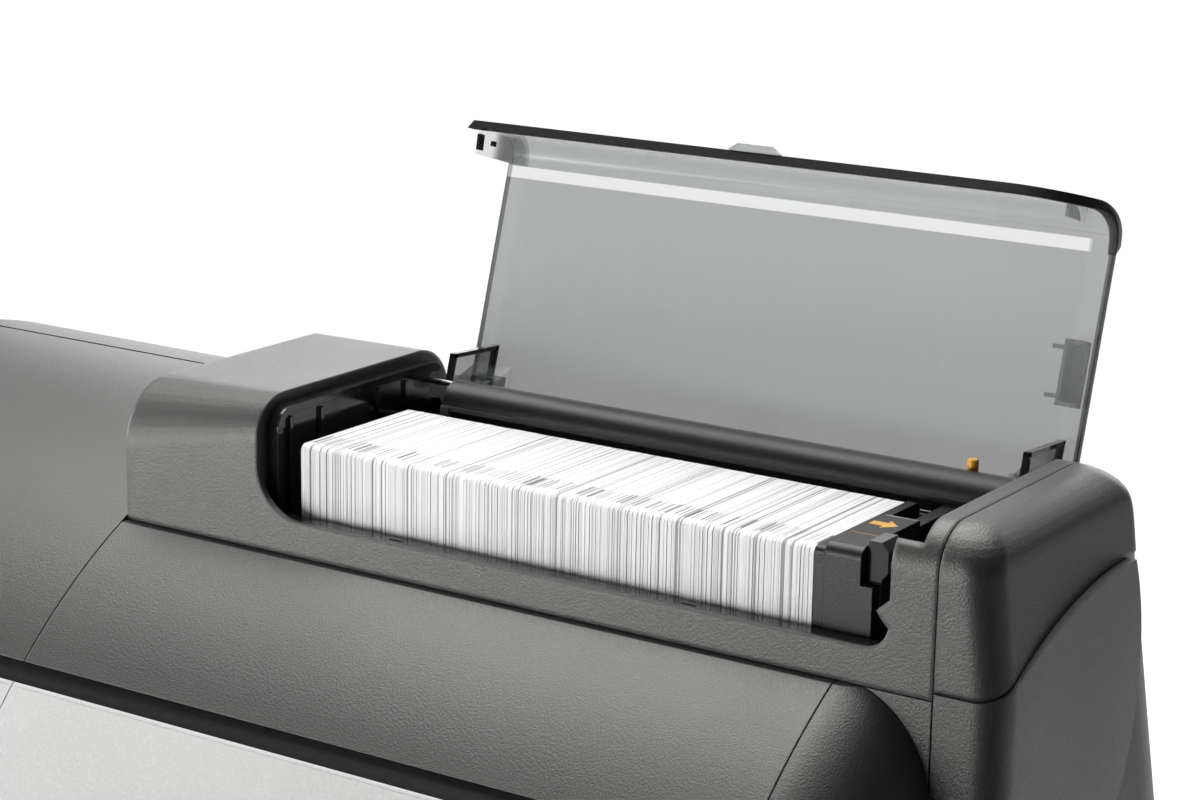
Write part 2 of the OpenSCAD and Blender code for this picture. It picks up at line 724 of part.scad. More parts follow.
// Ribbed gloss black panel that lines the left tower's side of the well, with the rim the lid shuts on.
liner_t = 3;
rim_t = 3.6;
rim_w = 6;
module rim_2d(t) {
    y0 = -4.4 + t;
    y1 = hinge_y + 1.3 - t;
    z1 = 50 - t;
    r = 11 - t;
    slab(y0, -18, y1, z1 - r);
    slab(y0 + r, -18, y1 - r, z1);
    for (y = [y0 + r, y1 - r]) translate([y, z1 - r]) circle(r);
}
module hopper_liner() {
    x0 = opening_x0 + fit;
    color(gloss_c) at_hopper() difference() {
        union() {
            x_run(x0, x0 + liner_t) rim_2d(0);
            x_run(x0, x0 + rim_w) difference() { rim_2d(0); rim_2d(rim_t); translate([-50, -20]) square([300, 20]); }
            for (y = [6.4, 29.4, 73.7, 95.5]) translate([x0, y, -2]) cube([liner_t + 1.6, 2.2, 46]);
        }
        translate([x0 - 1, card_l/2 - pick_room, -20]) cube([rim_w + 2, 2*pick_room, 25]);
        translate([0, hinge_y, hinge_z]) x_bar(x0 - 1, x0 + rim_w + 1, 8);
        translate([0, rod_y, rod_z]) x_bar(x0 + 1.2, x0 + rim_w + 1, rod_d/2 + run_fit);
    }
}

rod_y = 98;
rod_z = 24;
bush_r = 6;
ledge_slot = [7.5, 1.6];
module hopper_floor() {
    color(gloss_c) at_hopper() difference() {
        x_run(opening_x0 + liner_t + 2*fit, opening_right - fit) {
            slab(-face_out + wall + fit, -0.4 - floor_t, well_y0, -0.4);
            slab(well_y0 - floor_t, -card_sink - 0.2 - floor_t, well_y0, -0.4);
            slab(well_y0 - floor_t, -card_sink - 0.2 - floor_t, well_y1 + floor_t, -card_sink - 0.2);
            slab(well_y1, -card_sink - 0.2 - floor_t, well_y1 + floor_t, 28);
        }
        for (x = [-213, -56]) translate([x - ledge_slot.x/2, -7.4, -5]) cube([ledge_slot.x, ledge_slot.y, 10]);
        translate([opening_x0, card_l/2 - pick_room, -card_sink - 5])
            cube([-stack_len - opening_x0 + 1.5, 2*pick_room, 10]);
    }
}
// Bar behind the well: rounded on top, stepped towards the cards.
rail_y0 = well_y1 + floor_t + 2.4;
rail_x0 = opening_x0 + 30;
rail_top = 47;
module rear_rail() {
    top_r = 11;
    wall_y = well_y1 + floor_t + fit;
    color(black_c) at_hopper() for (x = [rail_x0, opening_right - fit - 10])
        x_run(x, x + (x < 0 ? 5 : 10)) slab(wall_y, 8, wall_y + 2, rail_top - 11);
    color(black_c) at_hopper() difference() {
        x_run(rail_x0, opening_right - fit) {
            translate([rail_y0 + top_r, rail_top - top_r]) circle(top_r);
            polygon([[rail_y0 + top_r, rail_top], [rail_y0 + top_r + 3, rail_top - 0.6], [rail_y0 + 22.5, rail_top - 9],
                [rail_y0 + 22.5, rail_top - 13], [rail_y0 + top_r, rail_top - 14]]);
            slab(rail_y0 - 1.6, rail_top - 13.5, rail_y0 + top_r, rail_top - 10.5);
        }
        slot_under = rod_z + bush_r + 4.4;
        x_run(rail_x0 - 1, opening_right + 1) slab(0, 0, big, slot_under);
        translate([pin_x, pin_y, 0]) cylinder(big, release_r + run_fit, release_r + run_fit);
        translate([pin_x - 11, pin_y - 3, rail_top - 10]) cube([3, 1.4, 20]);
    }
}
pin_x = 18;
pin_y = rail_y0 + 18;
release_r = 2.6;
module release_pin() {
    z0 = rod_z + bush_r + 1;
    color("#e2a019") at_hopper() translate([pin_x, pin_y, z0]) {
        cylinder(rail_top + 0.6 - z0, release_r, release_r);
        cylinder(3, release_r + 1.8, release_r + 1.8);
    }
}
module guide_rod() {
    color(steel_c) at_hopper() translate([0, rod_y, rod_z]) x_bar(opening_x0 + 1.8, opening_right - fit, rod_d/2);
}

module card_2d(t = 0) {
    slab(t, -card_sink + card_r, card_l - t, card_w - card_sink - card_r);
    slab(card_r, -card_sink + t, card_l - card_r, card_w - card_sink - t);
    for (y = [card_r, card_l - card_r], z = [card_r, card_w - card_r])
        translate([y, z - card_sink]) circle(card_r - t, $fn = 24);
}
module card_stack() { color("white") at_hopper() x_run(-stack_len, 0) card_2d(); }

// The pusher: a plate against the cards, a block behind it, and an arm to the bush on the guide rod.
plate_x0 = 0.3;
block_x0 = plate_x0 + plate_t + 0.2;
block_top = card_w - card_sink + 3;
block_y0 = -0.4;
block_y1 = 52;
arm_w = 6.5;
foot_w = 5.8;
foot_top = 21.3;
block_x1 = block_x0 + block_w;
module pusher_plate() {
    color(black_c) at_hopper() x_run(plate_x0, plate_x0 + plate_t) translate([0, 0.8]) card_2d(0.2);
}
module card_pusher() {
    r = 5;
    z0 = -card_sink + 0.4;
    x1 = block_x1;
    color(black_c) at_hopper() difference() {
        union() {
            x_run(block_x0, x1) {
                slab(block_y0, z0, block_y1, block_top - r);
                slab(block_y0 + r, z0, block_y1, block_top);
                translate([block_y0 + r, block_top - r]) circle(r);
            }
            translate([x1 - eps, block_y0, z0]) cube([foot_w, block_y1 - block_y0, foot_top - z0]);
            translate([x1 - 2 - arm_w, block_y1 - eps, rod_z + 6.5]) cube([arm_w, rod_y - block_y1, 2.6]);
            translate([block_x0 + 2, rod_y - bush_r, rod_z]) cube([block_w - 4, 2*bush_r, 9.1]);
            translate([0, rod_y, rod_z]) x_bar(block_x0 + 2, x1 - 2, bush_r);
        }
        translate([0, rod_y, rod_z]) x_bar(block_x0, x1 + 1, rod_d/2 + run_fit);
        // hollow underneath
        translate([block_x0 + 2.4, block_y0 + 2.4, z0 - 1])
            cube([block_w - 4.8, block_y1 - block_y0 - 4.8, block_top - 4 - z0]);
        // pocket of the latch in the foot
        translate([latch_x - 4.4, latch_y0 - 0.5, latch_z - 4]) cube([12, latch_d + 1, big]);
    }
    color(steel_c) at_hopper() translate([latch_x, 0, latch_z])
        y_bar(latch_y0 - 3, latch_y0 + latch_d + 3, latch_pin_r);
}
// Glossy hook that holds the pusher back at the right end; it rocks on the pin in its foot.
latch_x = block_x1 + 4.1;
latch_z = 12;
latch_pin_r = 1.2;
latch_y0 = block_y0 + 4.6;
latch_d = 14;
module pusher_latch() {
    color(gloss_c) at_hopper() difference() {
        y_run(latch_y0, latch_y0 + latch_d) {
            translate([latch_x, latch_z]) circle(3.2);
            polygon([[latch_x - 3.2, latch_z], [latch_x + 3.2, latch_z], [latch_x + 3.6, 24], [latch_x + 6.2, 27],
                [latch_x + 6.2, 36], [latch_x + 3, 40], [latch_x - 3, 40], [latch_x - 3.2, 24]]);
        }
        translate([latch_x, 0, latch_z]) y_bar(-5, 30, latch_pin_r + run_fit);
    }
}

// ---------- lid ----------

module lid_pose() {
    at_hopper() translate([0, hinge_y, hinge_z]) rotate([-lid_open, 0, 0]) translate([0, -hinge_y, -hinge_z]) children();
}
lid_back = hinge_y + 1;
ear_w = 20;
ear_t = 2.4;
// Side outline of the lid, shut: flat top, bend and lip.
module lid_2d(t = 0) {
    slab(lid_front + t, lid_top - lid_lip, lid_front + lid_t, lid_top - lid_bend);
    slab(lid_front + lid_bend, lid_top - lid_t, lid_back, lid_top);
    intersection() {
        translate([lid_front + lid_bend, lid_top - lid_bend]) difference() {
            circle(lid_bend);
            circle(lid_bend - lid_t);
        }
        slab(0, lid_top - lid_bend, lid_front + lid_bend, lid_top + 1);
    }
}
module ear_2d() {
    difference() {
        union() {
            translate([hinge_y, hinge_z]) circle(5);
            polygon([[hinge_y - 4.6, hinge_z + 2], [hinge_y - 11, lid_top - lid_t + eps], [lid_back, lid_top - lid_t + eps],
                [hinge_y + 4.6, hinge_z + 2]]);
        }
        translate([hinge_y, hinge_z]) circle(pin_r + run_fit);
    }
}
// The lid's outline seen square to its bend, as (width, slant height over the lip's edge): its right
// corner is rounded. The slant view draws an outline through the whole lid.
module slant() { translate([0, lid_front, lid_low]) rotate([-45, 0, 0]) y_run(-200, 200) children(); }
module lid_outline_2d(grow = 0, left = 0) {
    c = lid_corner + grow;
    slab(-lid_left - left, -grow, lid_right - lid_corner, 200);
    slab(-lid_left - left, lid_corner, lid_right + grow, 200);
    translate([lid_right - lid_corner, lid_corner]) circle(c, $fn = 96);
}
lid_low = lid_top - lid_lip;
flange_d = 15;
// The right rib ends ahead of the tilted latch, which passes behind it under the shut lid.
hook_d = latch_y0 - lid_front - lid_room/2;
module lid() {
    color(clear_c) lid_pose() {
        intersection() {
            x_run(-lid_left, lid_right) lid_2d();
            slant() lid_outline_2d();
        }
        for (x = [-lid_left, lid_right - 18]) x_run(x, x + 2) difference() {
            slab(lid_front + lid_t - eps, lid_low + (x < 0 ? 5 : 16), lid_front + (x < 0 ? flange_d : hook_d),
                lid_top - lid_t + eps);
            if (x > 0) slab(lid_front + hook_d - 4.6, lid_low + 19, lid_front + hook_d - 1.6, lid_low + 22);
        }
        for (x = [-lid_left + 1, lid_right - 1 - ear_w - ear_t]) {
            for (dx = [0, ear_w]) x_run(x + dx, x + dx + ear_t) ear_2d();
            x_run(x, x + ear_w + ear_t) polygon([[hinge_y - 13, lid_top - lid_t + eps], [hinge_y - 8, lid_top - lid_t + eps],
                [hinge_y - 4, hinge_z + 7], [hinge_y - 6, hinge_z + 5]]);
        }
    }
}
strip_t = 4.6;
strip_h = 4;
strip_fit = 0.1;
// Side outline of the strip's channel: the lid's own outline, thicker by t on both faces.
module strip_2d(t) {
    slab(lid_front - t, lid_low - 10, lid_front + lid_t + t, lid_top - lid_bend);
    slab(lid_front + lid_bend, lid_top - lid_t - t, lid_front + 40, lid_top + t);
    translate([lid_front + lid_bend, lid_top - lid_bend]) intersection() {
        difference() { circle(lid_bend + t); circle(lid_bend - lid_t - t); }
        slab(-lid_bend - t, 0, 0, lid_bend + t);
    }
}
// Black strip clipped over the lip's free edge and round its right corner.
module lid_edge_strip() {
    t = (strip_t - lid_t)/2;
    color(gloss_c) lid_pose() difference() {
        intersection() {
            x_run(-lid_left - 1, lid_right + 2) strip_2d(t);
            slant() difference() { lid_outline_2d(1.2); lid_outline_2d(-strip_h + 1.2, 10); }
            slant() slab(-lid_left, -5, lid_right + 5, lid_corner - 2);
        }
        intersection() {
            x_run(-lid_left - 2, lid_right + 3) strip_2d(strip_fit);
            slant() lid_outline_2d(strip_fit, 10);
        }
    }
}
grip_x = -117;
grip_l = 27;
// Clear finger tab in the middle of the lip.
module lid_grip() {
    low = lid_low;
    y0 = lid_front - (strip_t - lid_t)/2;
    color(clear_c) lid_pose() translate([grip_x, 0, 0]) {
        hull() {
            y_run(y0 - 0.6, y0 - 0.1) slab(-grip_l/2, low - 1.6, grip_l/2, low + 1.4);
            y_run(y0 - 3.6, y0 - 3.2) slab(-grip_l/2 + 4, low - 1.2, grip_l/2 - 4, low + 0.8);
        }
    }
}
// Clear bow on the inside of the lid's right edge, with two lugs.
module lid_catch() {
    y0 = lid_front + 62;
    y1 = y0 + 30;
    x1 = lid_right - 3;
    z1 = lid_top - lid_t - 0.1;
    color(clear_c) lid_pose() {
        difference() {
            translate([x1 - 9, y0, z1 - 9]) cube([9, y1 - y0, 9]);
            translate([x1 - 7, y0 + 2, z1 - 10]) cube([8, y1 - y0 - 4, 8.6]);
        }
        for (y = [y0 + 3, y1 - 5]) translate([x1 - 15, y, z1 - 8]) cube([6 + eps, 2, 2.4]);
    }
}
module hinge_pins() {
    color(steel_c) at_hopper() translate([0, hinge_y, hinge_z]) {
        x_bar(opening_x0 - 12, -lid_left + ear_w + 8, pin_r);
        x_bar(lid_right - ear_w - 10, pillar_x1 - 1, pin_r);
    }
}

// ---------- print engine ----------

track_y = hop_y + card_l/2;
plate_y0 = track_y - plate_half;
plate_y1 = track_y + plate_half;
plate_thick = 3;
plate_x1 = hop_x - stack_len + 10;
plate_left = pan_x0 + 3;
low_z = track_z - roller_d/2;
feed_x = hop_x - stack_len - feed_room;
clean_x = feed_x - clean_pitch;
platen_x = clean_x - platen_pitch;
transfer_x = platen_x - transfer_pitch;
exit_x = transfer_x - exit_pitch;
transfer_r = 18;
spool_z = track_z + 62;
spools = [[platen_x + 42, spool_z, 24], [platen_x - 26, spool_z, 17],
    [transfer_x - 4, spool_z + 8, 26], [transfer_x - 62, spool_z + 8, 21]];
shaft_at = [[feed_x, low_z], [clean_x, low_z], [platen_x, low_z], [transfer_x, track_z + transfer_r + 1],
    [exit_x, low_z], [spools[0][0], spools[0][1]], [spools[1][0], spools[1][1]],
    [spools[2][0], spools[2][1]], [spools[3][0], spools[3][1]]];
pick_r = 13.9;
pick_x = hop_x - stack_len - pick_r - seam;
pick_z = ledge_h - 12;
pick_w = 16;

// Sheet metal frame that carries the hopper: a deck on two legs, with two arms for the pick roller.
deck_z = ledge_h - card_sink - 0.2 - floor_t - fit;
deck_y1 = hop_y + well_y1 + floor_t;
module hopper_frame() {
    arm_t = 2;
    leg_x1 = pan_x1 - 12;
    color(steel_c) difference() {
        union() {
            translate([plate_x1 + 6, hop_y - 6, deck_z - pan_t]) cube([leg_x1 - plate_x1, deck_y1 - hop_y + 6, pan_t]);
            for (x = [plate_x1 + 6, leg_x1 + 2])
                translate([x, hop_y - 6, foot_h + pan_t]) cube([pan_t, deck_y1 - hop_y + 6, deck_z - foot_h - pan_t]);
            for (s = [-1, 1]) translate([0, track_y + s*(pick_w + 2.5 + arm_t/2), 0]) y_run(-arm_t/2, arm_t/2) {
                slab(pick_x - 7, deck_z - 12, plate_x1 + 8, deck_z);
                slab(pick_x - 7, deck_z - 12, pick_x + 7, pick_z);
                translate([pick_x, pick_z]) circle(7);
            }
        }
        translate([pick_x, 0, pick_z]) y_bar(-big/2, big/2, shaft_d/2 + run_fit);
    }
}
module engine_plates() {
    color(steel_c) difference() {
        for (y = [plate_y0 - plate_thick, plate_y1]) {
            translate([plate_left, y, 130]) cube([plate_x1 - plate_left, plate_thick, deck_z - 130]);
            for (x = [plate_left + 6, plate_x1 - 40]) translate([x, y, foot_h + pan_t]) cube([30, plate_thick, 130]);
        }
        for (s = shaft_at) translate([s[0], 0, s[1]]) y_bar(plate_y0 - 10, plate_y1 + 10, shaft_d/2 + run_fit);
        translate([motor_x, 0, motor_z]) y_bar(plate_y1 - 1, plate_y1 + 10, 8);
    }
}
module card_track() {
    gap = 2;
    color(black_c) difference() {
        translate([plate_left, plate_y0 + fit, track_z - 3]) cube([plate_x1 - plate_left, 2*plate_half - 2*fit, 2]);
        for (x = [feed_x, clean_x, platen_x, exit_x])
            translate([x - roller_d/2 - gap, track_y - 50, track_z - 10]) cube([roller_d + 2*gap, 100, 20]);
    }
}
module roller(x, z, r, sleeve) {
    translate([x, 0, z]) {
        color(steel_c) y_bar(plate_y0 - 6, plate_y1 + 16, shaft_d/2);
        color(sleeve) y_bar(track_y - 46, track_y + 46, r);
    }
}
module pulley(x, z) {
    color(black_c) translate([x, 0, z]) {
        y_bar(plate_y1 + 11, plate_y1 + 17, pulley_r);
        y_bar(plate_y1 + 17, plate_y1 + 18, pulley_r + 2);
        y_bar(plate_y1 + 10, plate_y1 + 11, pulley_r + 2);
    }
}
pulley_r = 9;
belt_t = 1.2;
module feed_roller() { roller(feed_x, low_z, roller_d/2, rubber_c); pulley(feed_x, low_z); }
module exit_roller() { roller(exit_x, low_z, roller_d/2, rubber_c); pulley(exit_x, low_z); }
module cleaning_roller() { roller(clean_x, low_z, roller_d/2 - 2, "#5d86a8"); }
module transfer_roller() { roller(transfer_x, track_z + transfer_r + 1, transfer_r, "#8d9093"); }
module platen_roller() {
    roller(platen_x, low_z, roller_d/2, rubber_c);
    pulley(platen_x, low_z);
    color(white_c) translate([platen_x, gear_y, low_z]) rotate([-90, 0, 0]) gear(platen_teeth, 6, 0);
}
module drive_belt() {
    r = pulley_r + 0.3;
    color(rubber_c) y_run(plate_y1 + 11.6, plate_y1 + 16.4) difference() {
        belt_loop(r + belt_t);
        belt_loop(r);
    }
}
module belt_loop(r) {
    slab(exit_x, low_z - r, feed_x, low_z + r);
    for (x = [exit_x, feed_x]) translate([x, low_z]) circle(r);
}

// Spur gear about Z with straight flanks.
module gear(teeth, width, turn) {
    rp = gear_m*teeth/2;
    root = rp - 1.25*gear_m;
    tip = rp + 0.85*gear_m;
    half = 90/teeth;
    difference() {
        linear_extrude(width) union() {
            circle(root + eps, $fn = 2*teeth);
            for (i = [0:teeth - 1]) rotate(turn + i*360/teeth)
                polygon([[root - 0.3, root*sin(half*1.1)], [rp, rp*sin(half*0.86)], [tip, tip*sin(half*0.42)],
                    [tip, -tip*sin(half*0.42)], [rp, -rp*sin(half*0.86)], [root - 0.3, -root*sin(half*1.1)]]);
        }
        translate([0, 0, -1]) cylinder(width + 2, shaft_d/2 - eps, shaft_d/2 - eps);
    }
}
gear_y = plate_y1 + plate_thick + 0.5;
motor_teeth = 16;
platen_teeth = 40;
motor_x = platen_x;
motor_z = low_z - gear_m*(motor_teeth + platen_teeth)/2;
module motor_gear() {
    color(steel_c) translate([motor_x, gear_y, motor_z]) rotate([-90, 0, 0]) {
        gear(motor_teeth, 6, 90 + 180/motor_teeth);
        translate([0, 0, -10]) cylinder(17, shaft_d/2, shaft_d/2);
    }
}
module drive_motor() {
    color(black_c) translate([motor_x, 0, motor_z]) difference() {
        translate([-28, plate_y1 - 58, -28]) cube([56, 58 - fit, 56]);
        y_bar(plate_y1 - 10, plate_y1 + 10, shaft_d/2 + run_fit);
    }
}

module print_head() {
    z0 = track_z + 1.2;
    color(black_c) y_run(plate_y0 + fit, plate_y1 - fit)
        polygon([[platen_x - 1.5, z0], [platen_x + 1.5, z0], [platen_x + 12, z0 + 10], [platen_x + 12, z0 + 26],
            [platen_x - 12, z0 + 26], [platen_x - 12, z0 + 10]]);
}
module spool(i, c) {
    s = spools[i];
    translate([s[0], 0, s[1]]) {
        color(steel_c) y_bar(plate_y0 - 6, plate_y1 + 6, shaft_d/2);
        color(c) y_bar(track_y - 47, track_y + 47, s[2]);
        color(black_c) for (y = [track_y - 49, track_y + 47]) y_bar(y, y + 2, s[2] + 3);
    }
}
module ribbon_supply() { spool(0, "#1d2026"); }
module ribbon_takeup() { spool(1, "#1d2026"); }
module film_supply() { spool(2, "#c9ced2"); }
module film_takeup() { spool(3, "#c9ced2"); }
module pick_roller() {
    translate([pick_x, 0, pick_z]) {
        color(steel_c) y_bar(track_y - pick_w - 7.5, track_y + pick_w + 7.5, shaft_d/2);
        color(rubber_c) y_bar(track_y - pick_w, track_y + pick_w, pick_r);
    }
}

// ---------- electrics ----------

supply = [200, 110, 60];
supply_x = pan_x1 - 50 - supply.x;
supply_y = pan_y0 + 80;
module power_supply() {
    sheet = 1.5;
    color(steel_c) difference() {
        translate([supply_x, supply_y, foot_h + pan_t]) cube(supply);
        translate([supply_x + sheet, supply_y + sheet, foot_h + pan_t + sheet])
            cube([supply.x - 2*sheet, supply.y - 2*sheet, supply.z - 2*sheet]);
        for (i = [0:11]) translate([supply_x + 14 + 15*i, supply_y - 1, foot_h + 20]) cube([6, 3, 30]);
    }
}
board_y = machine_d/2 - wall - 12;
board = [200, 1.6, 150];
board_z = 80;
module main_board() {
    color("#1f6b46") translate([board_x, board_y, board_z]) cube(board);
    color(black_c) for (p = [[20, 110, 34], [70, 100, 40], [130, 30, 50], [20, 20, 26]])
        translate([board_x + p[0], board_y - 4, board_z + p[1]]) cube([p[2], 4 + eps, p[2]*0.7]);
    color(steel_c) for (x = [5, board.x - 8], z = [6, board.z - 8])
        translate([board_x + x, 0, board_z + z]) y_bar(board_y + board.y - eps, machine_d/2 - wall - fit, 3);
}
fan_t = 25;
fan_hub_r = 16;
fan_y0 = machine_d/2 - wall - 0.2 - fan_t;
module fan_frame() {
    color(black_c) difference() {
        translate([fan_x - fan_size/2, fan_y0, fan_z - fan_size/2]) cube([fan_size, fan_t, fan_size]);
        translate([fan_x, 0, fan_z]) difference() {
            y_bar(fan_y0 - 1, fan_y0 + fan_t + 1, fan_size/2 - 2);
            y_bar(fan_y0 + fan_t - 5, fan_y0 + fan_t, fan_hub_r + 1);
            for (a = [0:3]) rotate([0, 45 + 90*a, 0]) translate([-3, fan_y0 + fan_t - 3, 0]) cube([6, 3, 60]);
        }
        translate([fan_x, 0, fan_z]) y_bar(fan_y0 + 10, fan_y0 + fan_t - 1, 2 + run_fit);
    }
}
module fan_rotor() {
    color(rubber_c) translate([fan_x, 0, fan_z]) {
        y_bar(fan_y0 + 1, fan_y0 + fan_t - 6, fan_hub_r);
        y_bar(fan_y0 + fan_t - 7, fan_y0 + fan_t - 2, 2);
        for (a = [0:6]) rotate([0, a*360/7, 0]) translate([0, fan_y0 + 3, fan_hub_r - 1]) rotate([0, 0, 35])
            translate([-1, -1, 0]) cube([2, 15, 25]);
    }
}
switch_z = 11;
rocker_w = 18;
module power_inlet() {
    back = machine_d/2;
    color(black_c) difference() {
        union() {
            translate([port_x - inlet.x/2 + fit, back - 22, port_z - inlet.y/2 + fit])
                cube([inlet.x - 2*fit, 21.5, inlet.y - 2*fit]);
            translate([switch_x - 11 + fit, back - 20, port_z - 14 + fit]) cube([22 - 2*fit, 19.5, 28 - 2*fit]);
            translate([port_x, back - wall - fit - 2, port_z - 9]) cube([switch_x - port_x, 2, 18]);
        }
        translate([port_x - 13, back - 17, port_z - 9]) cube([26, 20, 18]);
        translate([switch_x - rocker_w/2 - 0.4, back - 18, port_z - 12.6]) cube([rocker_w + 0.8, 20, 25.2]);
        translate([switch_x, back - 5, port_z]) x_bar(-rocker_w/2 - 1.2, rocker_w/2 + 1.2, 1.5 + run_fit);
    }
    color(steel_c) for (x = [-7, 0, 7]) translate([port_x + x - 0.8, back - 17.01, port_z - 3]) cube([1.6, 12, 6]);
}
module power_switch() {
    color(black_c) translate([switch_x, machine_d/2 - 5, port_z]) {
        x_run(-rocker_w/2, rocker_w/2)
            polygon([[-5, -switch_z], [-5, switch_z], [4.6, switch_z], [2.2, 0], [0.5, -switch_z]]);
        x_bar(-rocker_w/2 - 1, rocker_w/2 + 1, 1.5);
    }
}
module data_ports() {
    back = machine_d/2;
    color(steel_c) difference() {
        translate([data_x - 24 + fit, back - 20, port_z - 10 + fit]) cube([48 - 2*fit, 19.6, 20 - 2*fit]);
        translate([data_x - 20, back - 14, port_z - 6]) cube([16, 20, 13]);
        translate([data_x + 3, back - 14, port_z - 5]) cube([13, 20, 11]);
    }
}

base_pan();
feet();
base_skirt();
rear_cover();
left_end_cap();
barrel_end_cap();
right_front_cover();
right_side_cover();
right_upper_cover();
right_rear_cover();
top_cover();
top_hinge_rod();
front_cover();
gap_strip();
front_door();
door_hinge_rod();
left_front_panel();
hopper_housing();
hopper_liner();
hopper_floor();
rear_rail();
release_pin();
card_stack();
card_pusher();
pusher_plate();
pusher_latch();
guide_rod();
lid();
lid_edge_strip();
lid_grip();
lid_catch();
hinge_pins();
hopper_frame();
engine_plates();
card_track();
pick_roller();
feed_roller();
cleaning_roller();
platen_roller();
transfer_roller();
exit_roller();
print_head();
ribbon_supply();
ribbon_takeup();
film_supply();
film_takeup();
drive_motor();
motor_gear();
drive_belt();
power_supply();
main_board();
fan_frame();
fan_rotor();
power_inlet();
power_switch();
data_ports();
display();
menu_button();
select_button();
output_bin();
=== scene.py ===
# %% [markdown]
# # A card printer with a long open hopper
# The machine stands on a desk. Its body is a lying barrel, and a trough for some 350 plastic cards runs
# along its top right edge, under a hinged smoky lid. The solids come finished and in place, one object for
# each named part, so the work here is to give every surface its real finish, to build what a solid can't
# show, such as the separate cards, and to light and frame the machine.

# %% Load the solids
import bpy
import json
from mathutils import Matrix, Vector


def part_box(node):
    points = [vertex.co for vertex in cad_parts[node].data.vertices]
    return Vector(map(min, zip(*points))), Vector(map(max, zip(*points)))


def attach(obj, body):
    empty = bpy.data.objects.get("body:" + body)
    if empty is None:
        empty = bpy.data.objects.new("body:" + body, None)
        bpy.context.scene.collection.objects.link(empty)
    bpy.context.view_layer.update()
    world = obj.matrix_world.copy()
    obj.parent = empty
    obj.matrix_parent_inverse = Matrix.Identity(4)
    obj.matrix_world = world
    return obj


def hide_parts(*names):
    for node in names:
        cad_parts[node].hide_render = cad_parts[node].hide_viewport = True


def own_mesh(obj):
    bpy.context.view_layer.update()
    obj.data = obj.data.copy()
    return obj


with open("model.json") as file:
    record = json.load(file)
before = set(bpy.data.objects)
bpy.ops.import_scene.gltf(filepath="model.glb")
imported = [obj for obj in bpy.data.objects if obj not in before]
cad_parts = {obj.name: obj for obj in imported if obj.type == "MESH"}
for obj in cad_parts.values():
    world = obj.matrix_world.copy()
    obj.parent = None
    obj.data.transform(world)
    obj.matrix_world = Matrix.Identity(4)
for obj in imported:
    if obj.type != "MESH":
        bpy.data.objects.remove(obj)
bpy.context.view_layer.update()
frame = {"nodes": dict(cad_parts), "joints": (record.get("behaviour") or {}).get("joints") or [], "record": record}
nodes = frame["nodes"]

# %% [markdown]
# Everything random here comes from one seeded generator, so each run gives the same machine. Sizes are in
# metres, and MM turns millimetres into metres.

# %% Tools and units
import json
import math
import random
import bmesh
import bpy
from mathutils import Matrix, Vector

MM = 0.001
SEED = 20
chance = random.Random(SEED)
scene = bpy.context.scene
print("seed", SEED, "unit", MM)

# %% [markdown]
# ## The camera
# It stands to the right of the hopper and a little above it, and looks down along the row of cards with a
# long lens, so that the barrel's lines stay nearly parallel. A camera could be aimed with a constraint;
# here its three axes are written out from the two angles and a small tilt, which leaves nothing to be
# solved.

# %% Set the camera
AZIMUTH, ELEVATION, TILT = (math.radians(angle) for angle in (33.28, 14.01, 0.99))
CAMERA_PLACE = (0.8795, -1.017, 0.758)
LENS, SENSOR = 85.5, 36
look_back = Vector((math.sin(AZIMUTH) * math.cos(ELEVATION),
                    -math.cos(AZIMUTH) * math.cos(ELEVATION),
                    math.sin(ELEVATION)))
level_right = Vector((math.cos(AZIMUTH), math.sin(AZIMUTH), 0))
level_up = look_back.cross(level_right)
right = level_right * math.cos(TILT) + level_up * math.sin(TILT)
up = level_up * math.cos(TILT) - level_right * math.sin(TILT)
camera = bpy.data.objects.new("camera", bpy.data.cameras.new("camera"))
camera.data.lens = LENS
camera.data.sensor_width = SENSOR
turned = Matrix((right, up, look_back)).transposed().to_4x4()
camera.matrix_world = Matrix.Translation(CAMERA_PLACE) @ turned
scene.collection.objects.link(camera)
scene.camera = camera
print("camera at", CAMERA_PLACE, "lens", LENS)

# %% [markdown]
# ## How a finish is written
# A finish is a tree of shader nodes. Adding and linking nodes one by one hides the idea, so three small
# classes stand between. The first is `Value`, one output of a node. `+ - *` on it add the Math node that
# does the sum, and its other words name what a finish does to a value again and again.

# %% Values
class Value:
    """One output socket in a finish; sums on it become Math nodes."""

    def __init__(self, tree, socket):
        self.tree = tree
        self.socket = socket

    def math(self, operation, first, second):
        return self.tree.add("ShaderNodeMath", {"operation": operation}, {0: first, 1: second})

    def __add__(self, other):
        return self.math("ADD", self, other)

    __radd__ = __add__

    def __mul__(self, other):
        return self.math("MULTIPLY", self, other)

    __rmul__ = __mul__

    def __sub__(self, other):
        return self.math("SUBTRACT", self, other)

    def __rsub__(self, other):
        return self.math("SUBTRACT", other, self)

    def root(self):
        """The square root."""
        return self.math("POWER", self, 0.5)

    def or_more(self, other):
        """The larger of two values."""
        return self.math("MAXIMUM", self, other)

    def step(self, low, high):
        """0 below low, 1 above high, and a smooth change between."""
        return self.tree.add("ShaderNodeMapRange", {"interpolation_type": "SMOOTHSTEP"},
                             {"Value": self, "From Min": low, "From Max": high})

    def between(self, low, high, soft):
        """1 between two places and 0 outside them, with a change as wide as soft at each."""
        return self.step(low, low + soft) * (1 - self.step(high, high + soft))


print("a value knows:", [word for word in vars(Value) if not word.startswith("_")])

# %% [markdown]
# The second class is `Tree`, which holds the nodes. Its `add` makes any of them from its type, its
# settings, and what goes into its sockets: a `Value` is linked, and anything else is a plain number or
# colour.

